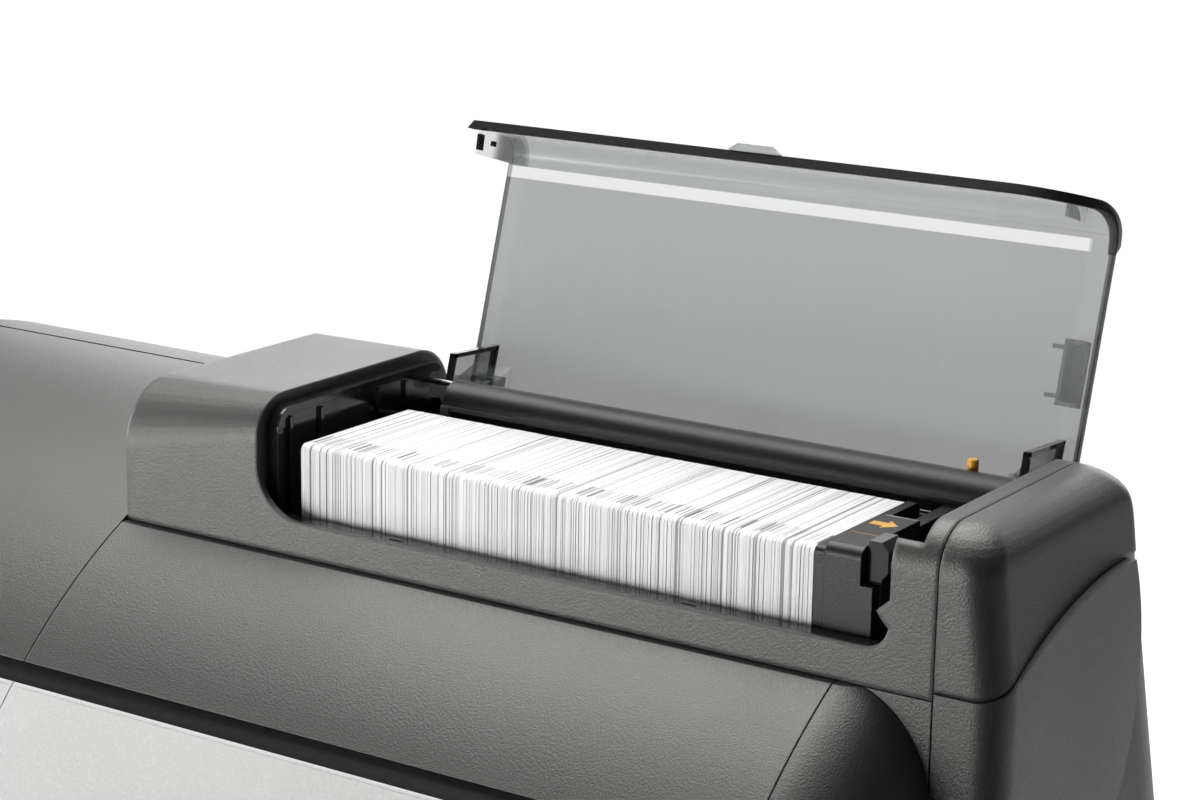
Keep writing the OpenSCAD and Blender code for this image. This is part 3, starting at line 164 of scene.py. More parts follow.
# %% Trees of nodes
class Tree:
    """A tree of shader nodes, with the coordinate that its values start from."""

    def __init__(self, node_tree, coordinate):
        self.node_tree = node_tree
        self.place = self.add("ShaderNodeTexCoord", {}, {}, coordinate)

    def add(self, kind, settings, inputs, output=0):
        """A node of any type, as the value of one of its outputs."""
        node = self.node_tree.nodes.new(kind)
        for key, setting in settings.items():
            setattr(node, key, setting)
        self.fill(node, inputs)
        return Value(self, node.outputs[output])

    def fill(self, node, inputs):
        """Fills the sockets of a node, by a link or with a plain value."""
        for key, value in inputs.items():
            if isinstance(value, Value):
                self.node_tree.links.new(value.socket, node.inputs[key])
            else:
                node.inputs[key].default_value = value

    def vector(self, operation, first, second, output=0):
        """Maths on two vectors, which a Math node would turn into one number."""
        return self.add("ShaderNodeVectorMath", {"operation": operation}, {0: first, 1: second}, output)

    def axis(self, direction):
        """How far a point lies along a direction."""
        return self.vector("DOT_PRODUCT", self.place, direction, "Value")

    def distance(self, centre):
        """How far a point lies from a centre."""
        return self.vector("DISTANCE", self.place, centre, "Value")

    def ray(self, kind):
        """1 for rays of one kind: Camera, Transmission or Glossy."""
        return self.add("ShaderNodeLightPath", {}, {}, f"Is {kind} Ray")


print("a tree knows:", [word for word in vars(Tree) if not word.startswith("_")])

# %% [markdown]
# The third is `Finish`, a tree with a material round it. It adds what nearly every surface here needs:
# clouds of noise, a colour between two colours, rounded edges and a bump. Edges could be rounded in the
# mesh, but the solids keep their exact form, so the Bevel node rounds them in the light alone. `feed` fills
# the sockets of the plain surface shader.

# %% Finishes
class Finish(Tree):
    """One procedural material on the plain surface shader."""

    def __init__(self, name, **fixed):
        self.material = bpy.data.materials.new(name)
        self.material.use_nodes = True
        super().__init__(self.material.node_tree, "Object")
        self.shader = self.node_tree.nodes["Principled BSDF"]
        self.feed({key.replace("_", " "): value for key, value in fixed.items()})

    def feed(self, inputs):
        self.fill(self.shader, inputs)

    def noise(self, scale, detail=2.0, stretch=None):
        """Cloudy values round 0.5; stretch draws them out along an axis."""
        place = self.vector("MULTIPLY", self.place, stretch) if stretch else self.place
        return self.add("ShaderNodeTexNoise", {}, {"Vector": place, "Scale": scale, "Detail": detail})

    def mix(self, factor, low, high):
        """A colour between two colours."""
        return self.add("ShaderNodeMix", {"data_type": "RGBA"}, {0: factor, 6: low, 7: high}, 2)

    def rounded(self, radius):
        """Normals that round every sharp edge by a radius."""
        return self.add("ShaderNodeBevel", {"samples": 4}, {"Radius": radius})

    def edges(self, rounded):
        """1 on the rounded edges and 0 on the open faces."""
        true = self.add("ShaderNodeNewGeometry", {}, {}, "Normal")
        return (1 - self.vector("DOT_PRODUCT", rounded, true, "Value")).step(0.01, 0.25)

    def bump(self, height, distance, normal):
        """Normals for a relief as deep as distance."""
        return self.add("ShaderNodeBump", {}, {"Strength": 1.0, "Distance": distance, "Height": height,
                                               "Normal": normal})


print("a finish adds:", [word for word in vars(Finish) if not word.startswith("_")])

# %% [markdown]
# Plastics are seldom a true grey. The casing is faintly green, the black parts are cooler, the white panel
# is warmer, and the clear lid is greener than the rest.

# %% Greys and shades
GREENISH, COOL, WARM = (0.975, 1, 0.955), (0.985, 1, 1.012), (1.006, 1, 0.99)
CLEAR = (0.88, 1, 0.975)


def grey(level, tint=(1, 1, 1)):
    """A grey with a slight tint."""
    return (level * tint[0], level * tint[1], level * tint[2], 1)


def shade(colour, factor, lift=0.0):
    """A colour made paler or deeper."""
    return (*(channel * factor + lift for channel in colour[:3]), 1)


print("half grey on the casing:", grey(0.5, GREENISH))

# %% [markdown]
# ## Moulded plastics
# The covers are moulded in a tool whose face was spark eroded, which leaves a fine, even grain of about
# half a millimetre. Grain could be modelled, but at that size a bump does the same. The colour wanders a
# little over a large cover, the grain holds some dust, and edges are polished by hands, so they are
# smoother and paler. The same writing serves every textured plastic on the machine; only tone, grain and
# roughness differ. Where covers meet in a soft seam, the same casing takes wider roundings.

# %% Textured plastics
def moulded(name, tone, tint, roughness, grain_scale, grain_depth, edge_radius, wear):
    finish = Finish(name)
    rounded = finish.rounded(edge_radius)
    edge = finish.edges(rounded)
    grain = finish.noise(grain_scale, 3.0)
    cloud = finish.noise(9.0, 4.0)
    dust = finish.noise(grain_scale * 0.23, 3.0).step(0.56, 0.78)
    base = finish.mix(cloud, grey(tone * 0.92, tint), grey(tone * 1.08, tint))
    base = finish.mix((grain - 0.5) * 0.9 + 0.15 + dust * 0.2, base, grey(tone * 1.45, tint))
    base = finish.mix(edge * wear, base, grey(min(0.9, tone * 2.2), tint))
    finish.feed({"Base Color": base,
                 "Roughness": cloud * 0.12 + (roughness - 0.13) + grain * 0.24 - edge * 0.06,
                 "Normal": finish.bump(grain, grain_depth, rounded)})
    return finish


def casing_plastic(name, edge_radius, wear):
    finish = moulded(name, 0.006, GREENISH, 0.41, 1150.0, 0.0002, edge_radius, wear)
    finish.feed({"IOR": 1.6, "Specular IOR Level": 0.7, "Specular Tint": (0.97, 1, 0.945, 1)})
    return finish


casing = casing_plastic("casing", 0.9 * MM, 0.12)
soft_casing = casing_plastic("casing, wide roundings", 3 * MM, 0.06)
white_panel = moulded("white panel", 0.5, WARM, 0.46, 1100.0, 0.00006, 0.6 * MM, 0.05)
black = moulded("satin black", 0.005, COOL, 0.36, 1100.0, 0.00008, 0.5 * MM, 0.2)
black.feed({"IOR": 1.42})
print("textured plastics:", [finish.material.name for finish in (casing, soft_casing, white_panel, black)])

# %% [markdown]
# The polished mouldings, such as the lining of the hopper, come from a mirror-bright tool. What one sees on
# them is reflections, so what matters is where they are less than perfect: faint waves in the face, the
# smear of fingers, which is rougher, and a few hairline scratches.

# %% Polished plastics
def polished(name, tone, roughness, edge_radius, smear=0.22):
    finish = Finish(name)
    rounded = finish.rounded(edge_radius)
    fingers = finish.noise(26.0, 5.0).step(0.48, 0.75)
    hairs = finish.noise(260.0, 2.0, (1.0, 0.04, 0.6)).step(0.64, 0.7)
    wave = finish.noise(45.0, 1.0)
    finish.feed({"Base Color": finish.mix(fingers * 0.5 + hairs * 0.4, tone, shade(tone, 1.6)),
                 "Roughness": fingers * smear + hairs * 0.1 + roughness,
                 "Normal": finish.bump(wave, 0.0001, rounded)})
    return finish


gloss_black = polished("gloss black", grey(0.011), 0.1, 0.4 * MM)
yellow = polished("yellow", (0.8, 0.36, 0.006, 1), 0.3, 0.5 * MM, 0.08)
ink = polished("arrow ink", (0.56, 0.29, 0.03, 1), 0.4, 0.1 * MM, 0.05)
screen = polished("screen", (0.012, 0.015, 0.02, 1), 0.04, 0.5 * MM, 0.1)
print("polished plastics:", [finish.material.name for finish in (gloss_black, yellow, ink, screen)])

# %% [markdown]
# ## The lid's own directions
# The lid stands open, so its straight edges lie aslant in the world. What is on it is therefore measured in
# its own directions: `to_front` runs along it from the hinge to its front edge, and `to_top` out of its
# top. The two helpers give a finish the same measures. The second is for the rounded corner at the lid's
# right end.

# %% Measure the lid
hinge = next(joint for joint in frame["joints"] if joint["name"] == "lid_hinge")
hinge_place = Vector(hinge["pos_m"])
open_angle = math.radians(hinge["range_deg"][1])
to_front = Vector((0, -math.cos(open_angle), math.sin(open_angle)))
to_top = Vector((0, math.sin(open_angle), math.cos(open_angle)))
lid_low, lid_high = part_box("lid")
LID_DEPTH, LID_TOP = 130.1 * MM, 18 * MM
BEND, WALL, LIP, CORNER, MISSING = (size * MM for size in (13, 2.8, 38, 42, 5.4))


def lid_measures(finish):
    """How far a point lies across, back from the lid's front edge, and above the hinge of the shut lid."""
    across = finish.axis((1, 0, 0))
    from_front = LID_DEPTH - (finish.axis(to_front) - hinge_place.dot(to_front))
    above = finish.axis(to_top) - hinge_place.dot(to_top)
    return across, from_front, above


def into_corner(from_front, above):
    """How far a point lies inside the rounded corner: CORNER at the lid's lower edge, 0 where it ends."""
    return (CORNER - (from_front + above - (LID_TOP - LIP)) * math.sqrt(0.5)).or_more(0.0)


print("lid", [round(v, 3) for v in lid_low], [round(v, 3) for v in lid_high], "depth", LID_DEPTH)

# %% [markdown]
# ## The smoky lid
# The lid is one clear moulding, tinted on its inside by a smoked film. The film thins a little at the left
# and right ends. Just behind the bend the film is taken away in a band, which makes the lid paler and clearer
# there: a painted reflection, standing in for the bright line that a lamp draws on the bend. Glass-like
# refraction would be right for a thick block; for a wall of under three millimetres thin smoke is closer, so
# the lid simply lets light through by Alpha, and its gloss comes from the surface shader.

# %% Smoked film
FILM_LEFT, FILM_RIGHT, FILM_SOFT = lid_low.x + 9.8 * MM, lid_high.x - 12.4 * MM, 0.4 * MM
REFLECTION_BAND_START, REFLECTION_BAND_END, REFLECTION_BAND_SOFT = 15.5 * MM, 21.5 * MM, 0.2 * MM
smoke = Finish("smoky lid", IOR=1.49)
across, from_front, above = lid_measures(smoke)
right_of_left = across.step(FILM_LEFT, FILM_LEFT + FILM_SOFT)
left_of_right = 1 - across.step(FILM_RIGHT, FILM_RIGHT + FILM_SOFT)
# Painted reflection: across this band the film is taken away, so the lid is paler and clearer there, in place of a
# lamp's reflection on the bend. film therefore holds both the smoked tint and this painted reflection.
painted_reflection_band = from_front.between(REFLECTION_BAND_START, REFLECTION_BAND_END, REFLECTION_BAND_SOFT)
film = (right_of_left * left_of_right * 0.06 + 0.94) * (1 - painted_reflection_band * left_of_right)
print("film from", round(FILM_LEFT, 3), "to", round(FILM_RIGHT, 3), "bare band", REFLECTION_BAND_START, REFLECTION_BAND_END)

# %% [markdown]
# An edge of clear plastic is seen through its whole length, so it looks nearly black. Both ends of the lid
# show such a dark rim, and at the left the bend's own end does too. Below it the flange stays clearer than
# the film. The haze and the smears keep the large faces from looking like glass.

# %% Rims and haze of the lid
cut_corner = into_corner(from_front, above)
right_end = (CORNER ** 2 - cut_corner * cut_corner).root() + (lid_high.x - CORNER)
right_rim = (across - right_end).step(-2.3 * MM, -2.0 * MM)
right_rim = right_rim * above.step(LID_TOP - LIP * 0.7, LID_TOP - BEND)
left_rim = 1 - across.step(lid_low.x + 0.7 * MM, lid_low.x + 0.9 * MM)
rim = right_rim.or_more(left_rim * from_front.step(15 * MM, 16 * MM))
end_bend = (1 - right_of_left) * (1 - from_front.step(15.2 * MM, 15.5 * MM))
end_bend = end_bend * above.step(LID_TOP - BEND - 6 * MM, LID_TOP - BEND + 2 * MM)
flange = (1 - right_of_left) * (1 - above.step(-2 * MM, 2 * MM))
dark = (rim * 0.9).or_more(end_bend * 0.5)
rounded = smoke.rounded(0.5 * MM)
haze = smoke.noise(18.0, 4.0)
smears = smoke.noise(30.0, 5.0, (1.0, 1.0, 0.4)).step(0.5, 0.8)
# tint and cover follow film, so they carry the painted reflection band as well as the smoked tint.
tint = smoke.mix(film, grey(0.34, CLEAR), grey(0.18, CLEAR))
cover = film * 0.29 + 0.12 + haze * 0.02 + smears * 0.015 + smoke.edges(rounded) * 0.3 + dark * 0.45
smoke.feed({"Base Color": smoke.mix(dark, tint, grey(0.06, CLEAR)),
            "Alpha": cover + from_front.step(0.03, 0.13) * 0.08 - flange * 0.25,
            "Roughness": smears * 0.1 + 0.26,
            "Normal": smoke.bump(smoke.noise(7.0, 1.0), 0.0001, rounded)})
print("smoky lid:", len(smoke.node_tree.nodes), "nodes")

# %% [markdown]
# ## Metal, rubber and the parts inside
# Sheet and bar stock show the direction in which they were rolled or ground: fine streaks, drawn out many
# times longer than wide. Rubber is matte with a soft sheen of talc.

# %% Metal and rubber
def drawn_metal(name, tone, roughness, stretch):
    finish = Finish(name, Metallic=1.0)
    rounded = finish.rounded(0.3 * MM)
    streaks = finish.noise(420.0, 3.0, stretch)
    patina = finish.noise(14.0, 5.0)
    finish.feed({"Base Color": finish.mix(patina * 0.5 + streaks * 0.4, shade(tone, 0.78), tone),
                 "Roughness": streaks * 0.22 + patina * 0.1 + roughness,
                 "Normal": finish.bump(streaks, 0.00003, rounded)})
    return finish


def rubbery(name, tone, roughness):
    finish = Finish(name)
    rounded = finish.rounded(0.5 * MM)
    grain = finish.noise(1500.0, 2.0)
    talc = finish.noise(60.0, 5.0).step(0.45, 0.85)
    finish.feed({"Base Color": finish.mix(talc * 0.35, tone, shade(tone, 1.7, 0.02)),
                 "Roughness": grain * 0.14 + roughness,
                 "Normal": finish.bump(grain, 0.00006, rounded)})
    return finish


steel = drawn_metal("steel", grey(0.55, COOL), 0.22, (0.03, 1.0, 1.0))
heat_roller = drawn_metal("heat roller", grey(0.62), 0.14, (1.0, 0.02, 1.0))
rubber = rubbery("rubber", grey(0.02), 0.62)
cleaning = rubbery("cleaning rubber", (0.1, 0.27, 0.48, 1), 0.4)
print("metal and rubber:", [finish.material.name for finish in (steel, heat_roller, rubber, cleaning)])

# %% [markdown]
# The spools carry a wound web, whose layers show as fine lines; noise drawn out along the spool gives them.
# The motor is painted. The board has a grid of paler tracks under its lacquer, which a Brick texture lays
# out.

# %% Spools, motor and board
def wound(name, light, deep, roughness):
    finish = Finish(name)
    rounded = finish.rounded(0.3 * MM)
    layers = finish.noise(900.0, 2.0, (1.0, 0.02, 1.0))
    finish.feed({"Base Color": finish.mix(layers, deep, light),
                 "Roughness": layers * 0.2 + roughness,
                 "Normal": finish.bump(layers, 0.00005, rounded)})
    return finish


ribbon = wound("ribbon", (0.03, 0.035, 0.05, 1), (0.006, 0.007, 0.01, 1), 0.16)
film_web = wound("film", (0.66, 0.68, 0.7, 1), (0.42, 0.44, 0.46, 1), 0.12)
motor = moulded("motor paint", 0.02, (1, 1, 1), 0.34, 1600.0, 0.00005, 0.4 * MM, 0.3)
board = Finish("circuit board")
tracks = board.add("ShaderNodeTexBrick", {"offset": 0.5}, {
    "Vector": board.place, "Scale": 110.0, "Mortar Size": 0.03, "Color1": (0.012, 0.13, 0.05, 1),
    "Color2": (0.018, 0.17, 0.07, 1), "Mortar": (0.05, 0.3, 0.13, 1)})
lacquer = board.noise(120.0, 3.0)
board.feed({"Base Color": board.mix(lacquer * 0.3, tracks, (0.01, 0.08, 0.04, 1)),
            "Roughness": lacquer * 0.2 + 0.2,
            "Normal": board.bump(lacquer, 0.00004, board.rounded(0.3 * MM))})
print("inner parts:", [finish.material.name for finish in (ribbon, film_web, motor, board)])

# %% [markdown]
# ## The finger gap
# A glossy strip lines the gap under the hopper, where fingers reach in. Light and shade are painted on it:
# its upper half is painted paler as if it caught the light, a thin painted highlight line runs along it, and
# the lower half is painted near black as the shade deep in the gap. All are bands of height, so they stay
# level along the strip.

# %% Finger gap
GAP_HEIGHT = 8.2 * MM
gap_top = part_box("gap_strip")[1].z
gap_black = Finish("finger gap", Roughness=0.3)
up_gap = gap_black.axis((0, 0, 1)) - (gap_top - GAP_HEIGHT)
# Painted light and shade: the upper half is painted paler as if lit, a thin line is painted as a highlight with a
# faint noisy painted sheen, and the lower half is painted near black as shade.
painted_lit_upper = up_gap.step(3.8 * MM, 4.2 * MM)
painted_highlight_line = up_gap.between(3.6 * MM, 4.3 * MM, 0.3 * MM)
painted_gap_shade = gap_black.mix(painted_lit_upper, grey(0.004, GREENISH), grey(0.035, GREENISH))
painted_highlight = painted_highlight_line.or_more(gap_black.noise(200.0) * 0.1)
gap_black.feed({"Base Color": gap_black.mix(painted_highlight, painted_gap_shade, grey(0.2, GREENISH)),
                "Normal": gap_black.rounded(0.6 * MM)})
print("finger gap", round(GAP_HEIGHT / MM, 1), "mm high, top at", round(gap_top, 3))

# %% [markdown]
# ## The strip on the lid's edge
# A black strip is stuck along the lid's lower edge. It narrows as it runs round the corner, down to a thin
# edge, and turns from black to grey there. The solid strip has one width, so Alpha takes away what is too
# much: everything that lies further in from the rounded edge than the width at that place.

# %% Strip on the lid's edge
STRIP, THIN = 6 * MM, 2.4 * MM
strip_black = moulded("strip black", 0.005, COOL, 0.46, 500.0, 0.00005, 0.3 * MM, 0.1)
across, from_front, above = lid_measures(strip_black)
cut_corner = into_corner(from_front, above)
side_corner = (across - (lid_high.x - CORNER)).or_more(0.0)
depth_in = CORNER - (cut_corner * cut_corner + side_corner * side_corner).root()
share = cut_corner * (1 / CORNER)
width = share.step(0.15, 0.95) * (STRIP - THIN) + THIN
round_corner = 1 - share.step(0.1, 0.8)
streaks = strip_black.noise(500.0, 3.0, (0.02, 1.0, 1.0))
strip_tone = strip_black.mix(streaks, grey(0.003, COOL), grey(0.008, COOL))
strip_black.feed({"IOR": 1.1,
                  "Alpha": (1 - (depth_in - width).step(0, 0.3 * MM)) * (1 - round_corner * 0.3),
                  "Base Color": strip_black.mix(round_corner, strip_tone, grey(0.09, COOL))})
print("strip", STRIP, "wide, at its thin end", THIN)

# %% [markdown]
# ## Dress the machine
# Each solid says which finish it takes through the name of its material slot, so one table dresses nearly
# the whole machine. A second, short table holds the few solids that take another finish than their slot
# says. Solids keep their exact form: only the material in the slot changes.

# %% Dress the solids
finishes = {"casing": casing, "white_panel": white_panel, "gloss_black": gloss_black, "black": black,
            "clear_lid": smoke, "yellow": yellow, "steel": steel, "rubber": rubber, "cleaning": cleaning,
            "heat_roller": heat_roller, "ribbon": ribbon, "film": film_web, "motor": motor, "board": board,
            "screen": screen}
own_finishes = {"right_upper_cover": soft_casing, "right_rear_cover": soft_casing,
                "hopper_housing": soft_casing, "lid_edge_strip": strip_black, "gap_strip": gap_black,
                "output_bin": black}
slot_of = {part["node"]: part["material_slot"] for part in frame["record"]["subparts"]}
dressed = 0
for name, solid in nodes.items():
    finish = own_finishes.get(name) or finishes.get(slot_of[name])
    if finish:
        for slot in solid.material_slots:
            slot.material = finish.material
        dressed += 1
print(dressed, "solids dressed")

# %% [markdown]
# ## New pieces
# A piece is built as a mesh, given its finish, and set to ride on the body that carries it, so that it
# moves along when the machine does. Most pieces here are prisms: one outline at two places, joined round
# its rim.

# %% Make a piece
def make_piece(name, mesh_builder, finish, body):
    mesh = bpy.data.meshes.new(name)
    mesh_builder.to_mesh(mesh)
    mesh_builder.free()
    mesh.materials.append(finish.material)
    piece = bpy.data.objects.new(name, mesh)
    scene.collection.objects.link(piece)
    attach(piece, body)
    print(name, "on", body, len(mesh.polygons), "faces")
    return piece


def prism(builder, outline, back, front):
    """Adds a prism between two places of an outline, and gives back the faces of its rim."""
    rings = [[builder.verts.new(place(u, v)) for u, v in outline] for place in (back, front)]
    builder.faces.new(rings[0][::-1])
    builder.faces.new(rings[1])
    rim_faces = []
    for here in range(len(outline)):
        there = (here + 1) % len(outline)
        corners = (rings[0][here], rings[0][there], rings[1][there], rings[1][here])
        rim_faces.append(builder.faces.new(corners))
    return rim_faces


trial = bmesh.new()
prism(trial, [(0, 0), (2, 0), (0, 2)], lambda u, v: (0, u, v), lambda u, v: (1, u, v))
print("a trial prism holds", round(abs(trial.calc_volume()), 3), "of 2")
trial.free()

# %% [markdown]
# ## The lid's bend
# The lid is one moulding, but its solid lacks a narrow strip where the top bends over into the lip. The
# strip is built here from the bend's two radii, in the lid's own directions: how far along the lid from the
# hinge, and how far above it when the lid is shut. Its right end follows the rounded corner.

# %% Outline of the bend
OVERLAP = 0.1 * MM
BEND_STEPS = 14


def on_lid(x, along, above):
    """A place on the lid: along it from the hinge towards its front edge, and above the hinge."""
    return hinge_place + Vector((x - hinge_place.x, 0, 0)) + to_front * along + to_top * above


def right_edge(along, above):
    """Where the lid's rounded right corner ends, at a place in its side outline."""
    slant = ((LID_DEPTH - along) + (above - LID_TOP + LIP)) / math.sqrt(2)
    return lid_high.x - CORNER + math.sqrt(CORNER ** 2 - max(0.0, CORNER - slant) ** 2)


def bend_arc(radius):
    """The stretch of the bend that is missing, at one of its two radii."""
    last = math.acos((BEND - MISSING - OVERLAP) / radius)
    angles = [last * step / BEND_STEPS for step in range(BEND_STEPS + 1)]
    return [(LID_DEPTH - BEND + radius * math.cos(angle), LID_TOP - BEND + radius * math.sin(angle))
            for angle in angles]


outer, inner = bend_arc(BEND), bend_arc(BEND - WALL)
lip_end = [(along, above - OVERLAP) for along, above in (inner[0], outer[0])]
bend_outline = outer + inner[::-1] + lip_end
print("bend outline:", len(bend_outline), "points")

# %% [markdown]
# A copy of the solid and the strip are joined by a Boolean into one closed shell, which keeps the glossy
# reflection running unbroken round the bend; two loose pieces would show their touching faces.

# %% Close the bend
bend_builder = bmesh.new()
prism(bend_builder, bend_outline, lambda a, b: on_lid(lid_low.x, a, b),
      lambda a, b: on_lid(right_edge(a, b), a, b))
bmesh.ops.triangulate(bend_builder, faces=bend_builder.faces[:])
bmesh.ops.recalc_face_normals(bend_builder, faces=bend_builder.faces[:])
bend_mesh = bpy.data.meshes.new("bend strip")
bend_builder.to_mesh(bend_mesh)
bend_builder.free()
bend_mesh.materials.append(smoke.material)
bend_strip = bpy.data.objects.new("bend strip", bend_mesh)
scene.collection.objects.link(bend_strip)
lid_shell = bpy.data.objects.new("lid_shell", nodes["lid"].data.copy())
scene.collection.objects.link(lid_shell)
join = lid_shell.modifiers.new("join", "BOOLEAN")
join.operation = "UNION"
join.solver = "EXACT"
join.object = bend_strip
bpy.context.view_layer.update()
joined = bpy.data.meshes.new_from_object(lid_shell.evaluated_get(bpy.context.evaluated_depsgraph_get()))
lid_shell.modifiers.clear()
lid_shell.data = joined
bpy.data.objects.remove(bend_strip)
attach(lid_shell, "lid")
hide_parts("lid")
shell_test = bmesh.new()
shell_test.from_mesh(joined)
print("lid shell", len(joined.polygons), "faces, volume", round(shell_test.calc_volume() * 1e9), "mm3,",
      sum(not edge.is_manifold for edge in shell_test.edges), "open edges")
shell_test.free()

# %% [markdown]
# ## The lid's arms
# Two clear side plates reach down from the lid to its hinge. Seen through their length clear plastic turns
# nearly black, which is why each plate reads as a set of dark edges round a pale window. The edges are
# separate dark bars, set just proud of the plate, so that they stay crisp from every side.

# %% Window and outlines of the arms
arm_window = Finish("arm window", IOR=1.49)
window_tone = arm_window.mix(arm_window.noise(40.0), grey(0.05, COOL), grey(0.12, COOL))
arm_window.feed({"Base Color": window_tone,
                 "Alpha": arm_window.noise(30.0, 3.0) * 0.2 + 0.4,
                 "Roughness": arm_window.noise(60.0, 3.0) * 0.1 + 0.15})
PLATE, PROUD, EDGE = 2.2 * MM, 0.5 * MM, 2.2 * MM
ARM_LEFT, ARM_RIGHT = lid_low.x + 11 * MM, lid_high.x - 9.8 * MM
FOOT, NOSE, HEEL, TOE, REACH, JOINT = (size * MM for size in (1.5, 23.4, 1.5, 15, -21.5, 15.15))
slope = (NOSE - TOE) / (JOINT - REACH)
plate_outline = [(FOOT, JOINT), (HEEL, REACH), (TOE, REACH), (NOSE, JOINT)]
edge_bars = {
    "base": [(FOOT, JOINT), (FOOT, JOINT - EDGE), (NOSE - slope * EDGE, JOINT - EDGE), (NOSE, JOINT)],
    "tip": [(HEEL, REACH + EDGE), (HEEL, REACH), (TOE, REACH), (TOE + slope * EDGE, REACH + EDGE)],
    "brow": [(TOE - EDGE, REACH), (TOE, REACH), (NOSE, JOINT), (NOSE - EDGE, JOINT)]}
print("an arm reaches", round((JOINT - REACH) / MM, 2), "mm down, with bars", list(edge_bars))

# %% [markdown]
# Plates and bars are prisms across the lid, so one helper makes them all from an outline and two ends.

# %% Arms of the lid
def lid_plate(name, outline, left, right, finish):
    builder = bmesh.new()
    prism(builder, outline, lambda a, b: on_lid(left, a, b), lambda a, b: on_lid(right, a, b))
    bmesh.ops.recalc_face_normals(builder, faces=builder.faces[:])
    return make_piece(name, builder, finish, "lid")


for side, plate_left in (("left", ARM_LEFT), ("right", ARM_RIGHT)):
    plate_right = plate_left + PLATE
    lid_plate(f"arm_{side}", plate_outline, plate_left, plate_right, arm_window)
    for bar, outline in edge_bars.items():
        lid_plate(f"arm_{side}_{bar}", outline, plate_left - PROUD, plate_right + PROUD,
                  gloss_black)

# %% [markdown]
# The end rib of the lip carries a dark stop at its back edge and a small square catch, both clear plastic
# seen along its length.

# %% Marks on the end rib
MARK_PROUD, MARK_DEEP = 0.15 * MM, 2 * MM
rib_marks = {"rib_stop": ((125.1, -15.8), (117.1, -15.1), (117.2, -11.6), (125, -12.3)),
             "rib_catch": ((123.4, -3.4), (120.8, -3.4), (120.8, -1.2), (123.4, -1.2))}
for rib_mark, points in rib_marks.items():
    outline = [(along * MM, above * MM) for along, above in points]
    lid_plate(rib_mark, outline, lid_low.x - MARK_PROUD, lid_low.x + MARK_DEEP, gloss_black)

# %% [markdown]
# ## The cards
# Some 350 cards stand on edge, pressed together. Drawn as one block with lines on it they look painted,
# because real cards are never quite flush: each stands a few tenths of a millimetre ahead of its neighbour
# or behind, and now and then a thin dark gap stays open. So every card is its own rounded plate. First the
# air in the stack is shared out among the cards.

# %% Share out the gaps
CARD = 0.76 * MM
LOOSENESS = 1.03
stack_low, stack_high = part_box("card_stack")
stack_length = stack_high.x - stack_low.x
count = int(stack_length / (CARD * LOOSENESS))


def gap_share():
    """The air before a card, small as a rule and wide now and then."""
    if chance.random() < 0.8:
        return chance.choice((0.1, 0.2, 0.3, 0.5))
    return chance.uniform(1.0, 3.0)


gaps = [gap_share() for _ in range(count)]
spare = stack_length - count * CARD
gaps = [gap * spare / sum(gaps) for gap in gaps]
print(count, "cards, widest gap", round(max(gaps) / MM, 3), "mm")

# %% [markdown]
# A card has rounded corners. Batches of cards share a tone, because they come out of the same box, and
# within a batch single cards are greyer; a few are darker still, as painted shade. The stripe is a dark dash
# on the cards' top edge: strong on a few cards, faint or missing on the others.

# %% Shape and tone of a card
CARD_CORNER, AHEAD_ROOM = 3.18 * MM, 0.4 * MM
CORNER_STEPS = 5


def card_outline(low_y, high_y, low_z, high_z):
    points = []
    near_y, far_y = low_y + CARD_CORNER, high_y - CARD_CORNER
    near_z, far_z = low_z + CARD_CORNER, high_z - CARD_CORNER
    for y, z, start in ((far_y, far_z, 0), (near_y, far_z, 90), (near_y, near_z, 180), (far_y, near_z, 270)):
        for step in range(CORNER_STEPS + 1):
            angle = math.radians(start + 90 * step / CORNER_STEPS)
            points.append((y + CARD_CORNER * math.cos(angle), z + CARD_CORNER * math.sin(angle)))
    return points


# A card's tone: most are clean, some are greyer, and the darkest few, from 0.2 to 0.4, are painted shade.
def card_tone_and_shade():
    roll = chance.random()
    if roll < 0.74:
        return chance.uniform(0.92, 1.0)
    if roll < 0.95:
        return chance.uniform(0.6, 0.85)
    return chance.uniform(0.2, 0.4)


def card_stripe():
    if chance.random() >= 0.86:
        return chance.uniform(0.6, 0.95)
    if chance.random() < 0.55:
        return chance.uniform(0.15, 0.4)
    return 0.0


print("a card's outline has", 4 * (CORNER_STEPS + 1), "points")

# %% [markdown]
# All cards go into one mesh, which keeps the scene light. Each carries three numbers for its finish: the
# tone of its edge, how dark the stripe shows on it, and how far its stripe is shifted.

# %% Build the cards
cards_mesh = bmesh.new()
tone_layer = cards_mesh.faces.layers.float.new("tone")
stripe_layer = cards_mesh.faces.layers.float.new("stripe")
shift_layer = cards_mesh.faces.layers.float.new("shift")
right_face = stack_low.x
batch_left = 0
for gap in gaps:
    if batch_left == 0:
        batch_tone = chance.uniform(0.9, 1.0)
        batch_left = chance.randint(4, 22)
        drift = chance.uniform(0.0, 0.3) * MM
    batch_left -= 1
    ahead = drift + chance.uniform(0.0, 0.32) * MM
    lower = chance.uniform(0.0, 0.14) * MM
    outline = card_outline(stack_low.y + ahead, stack_high.y - AHEAD_ROOM + ahead,
                           stack_low.z, stack_high.z - lower)
    left_face = right_face + gap
    right_face = left_face + CARD
    faces = prism(cards_mesh, outline, lambda y, z: (left_face, y, z), lambda y, z: (right_face, y, z))
    tone = batch_tone * card_tone_and_shade()
    stripe = card_stripe()
    shift = chance.uniform(-1.5, 1.5) * MM
    for face in faces:
        face[tone_layer] = tone
        face[stripe_layer] = stripe
        face[shift_layer] = shift
print(len(cards_mesh.faces), "faces in all the cards")
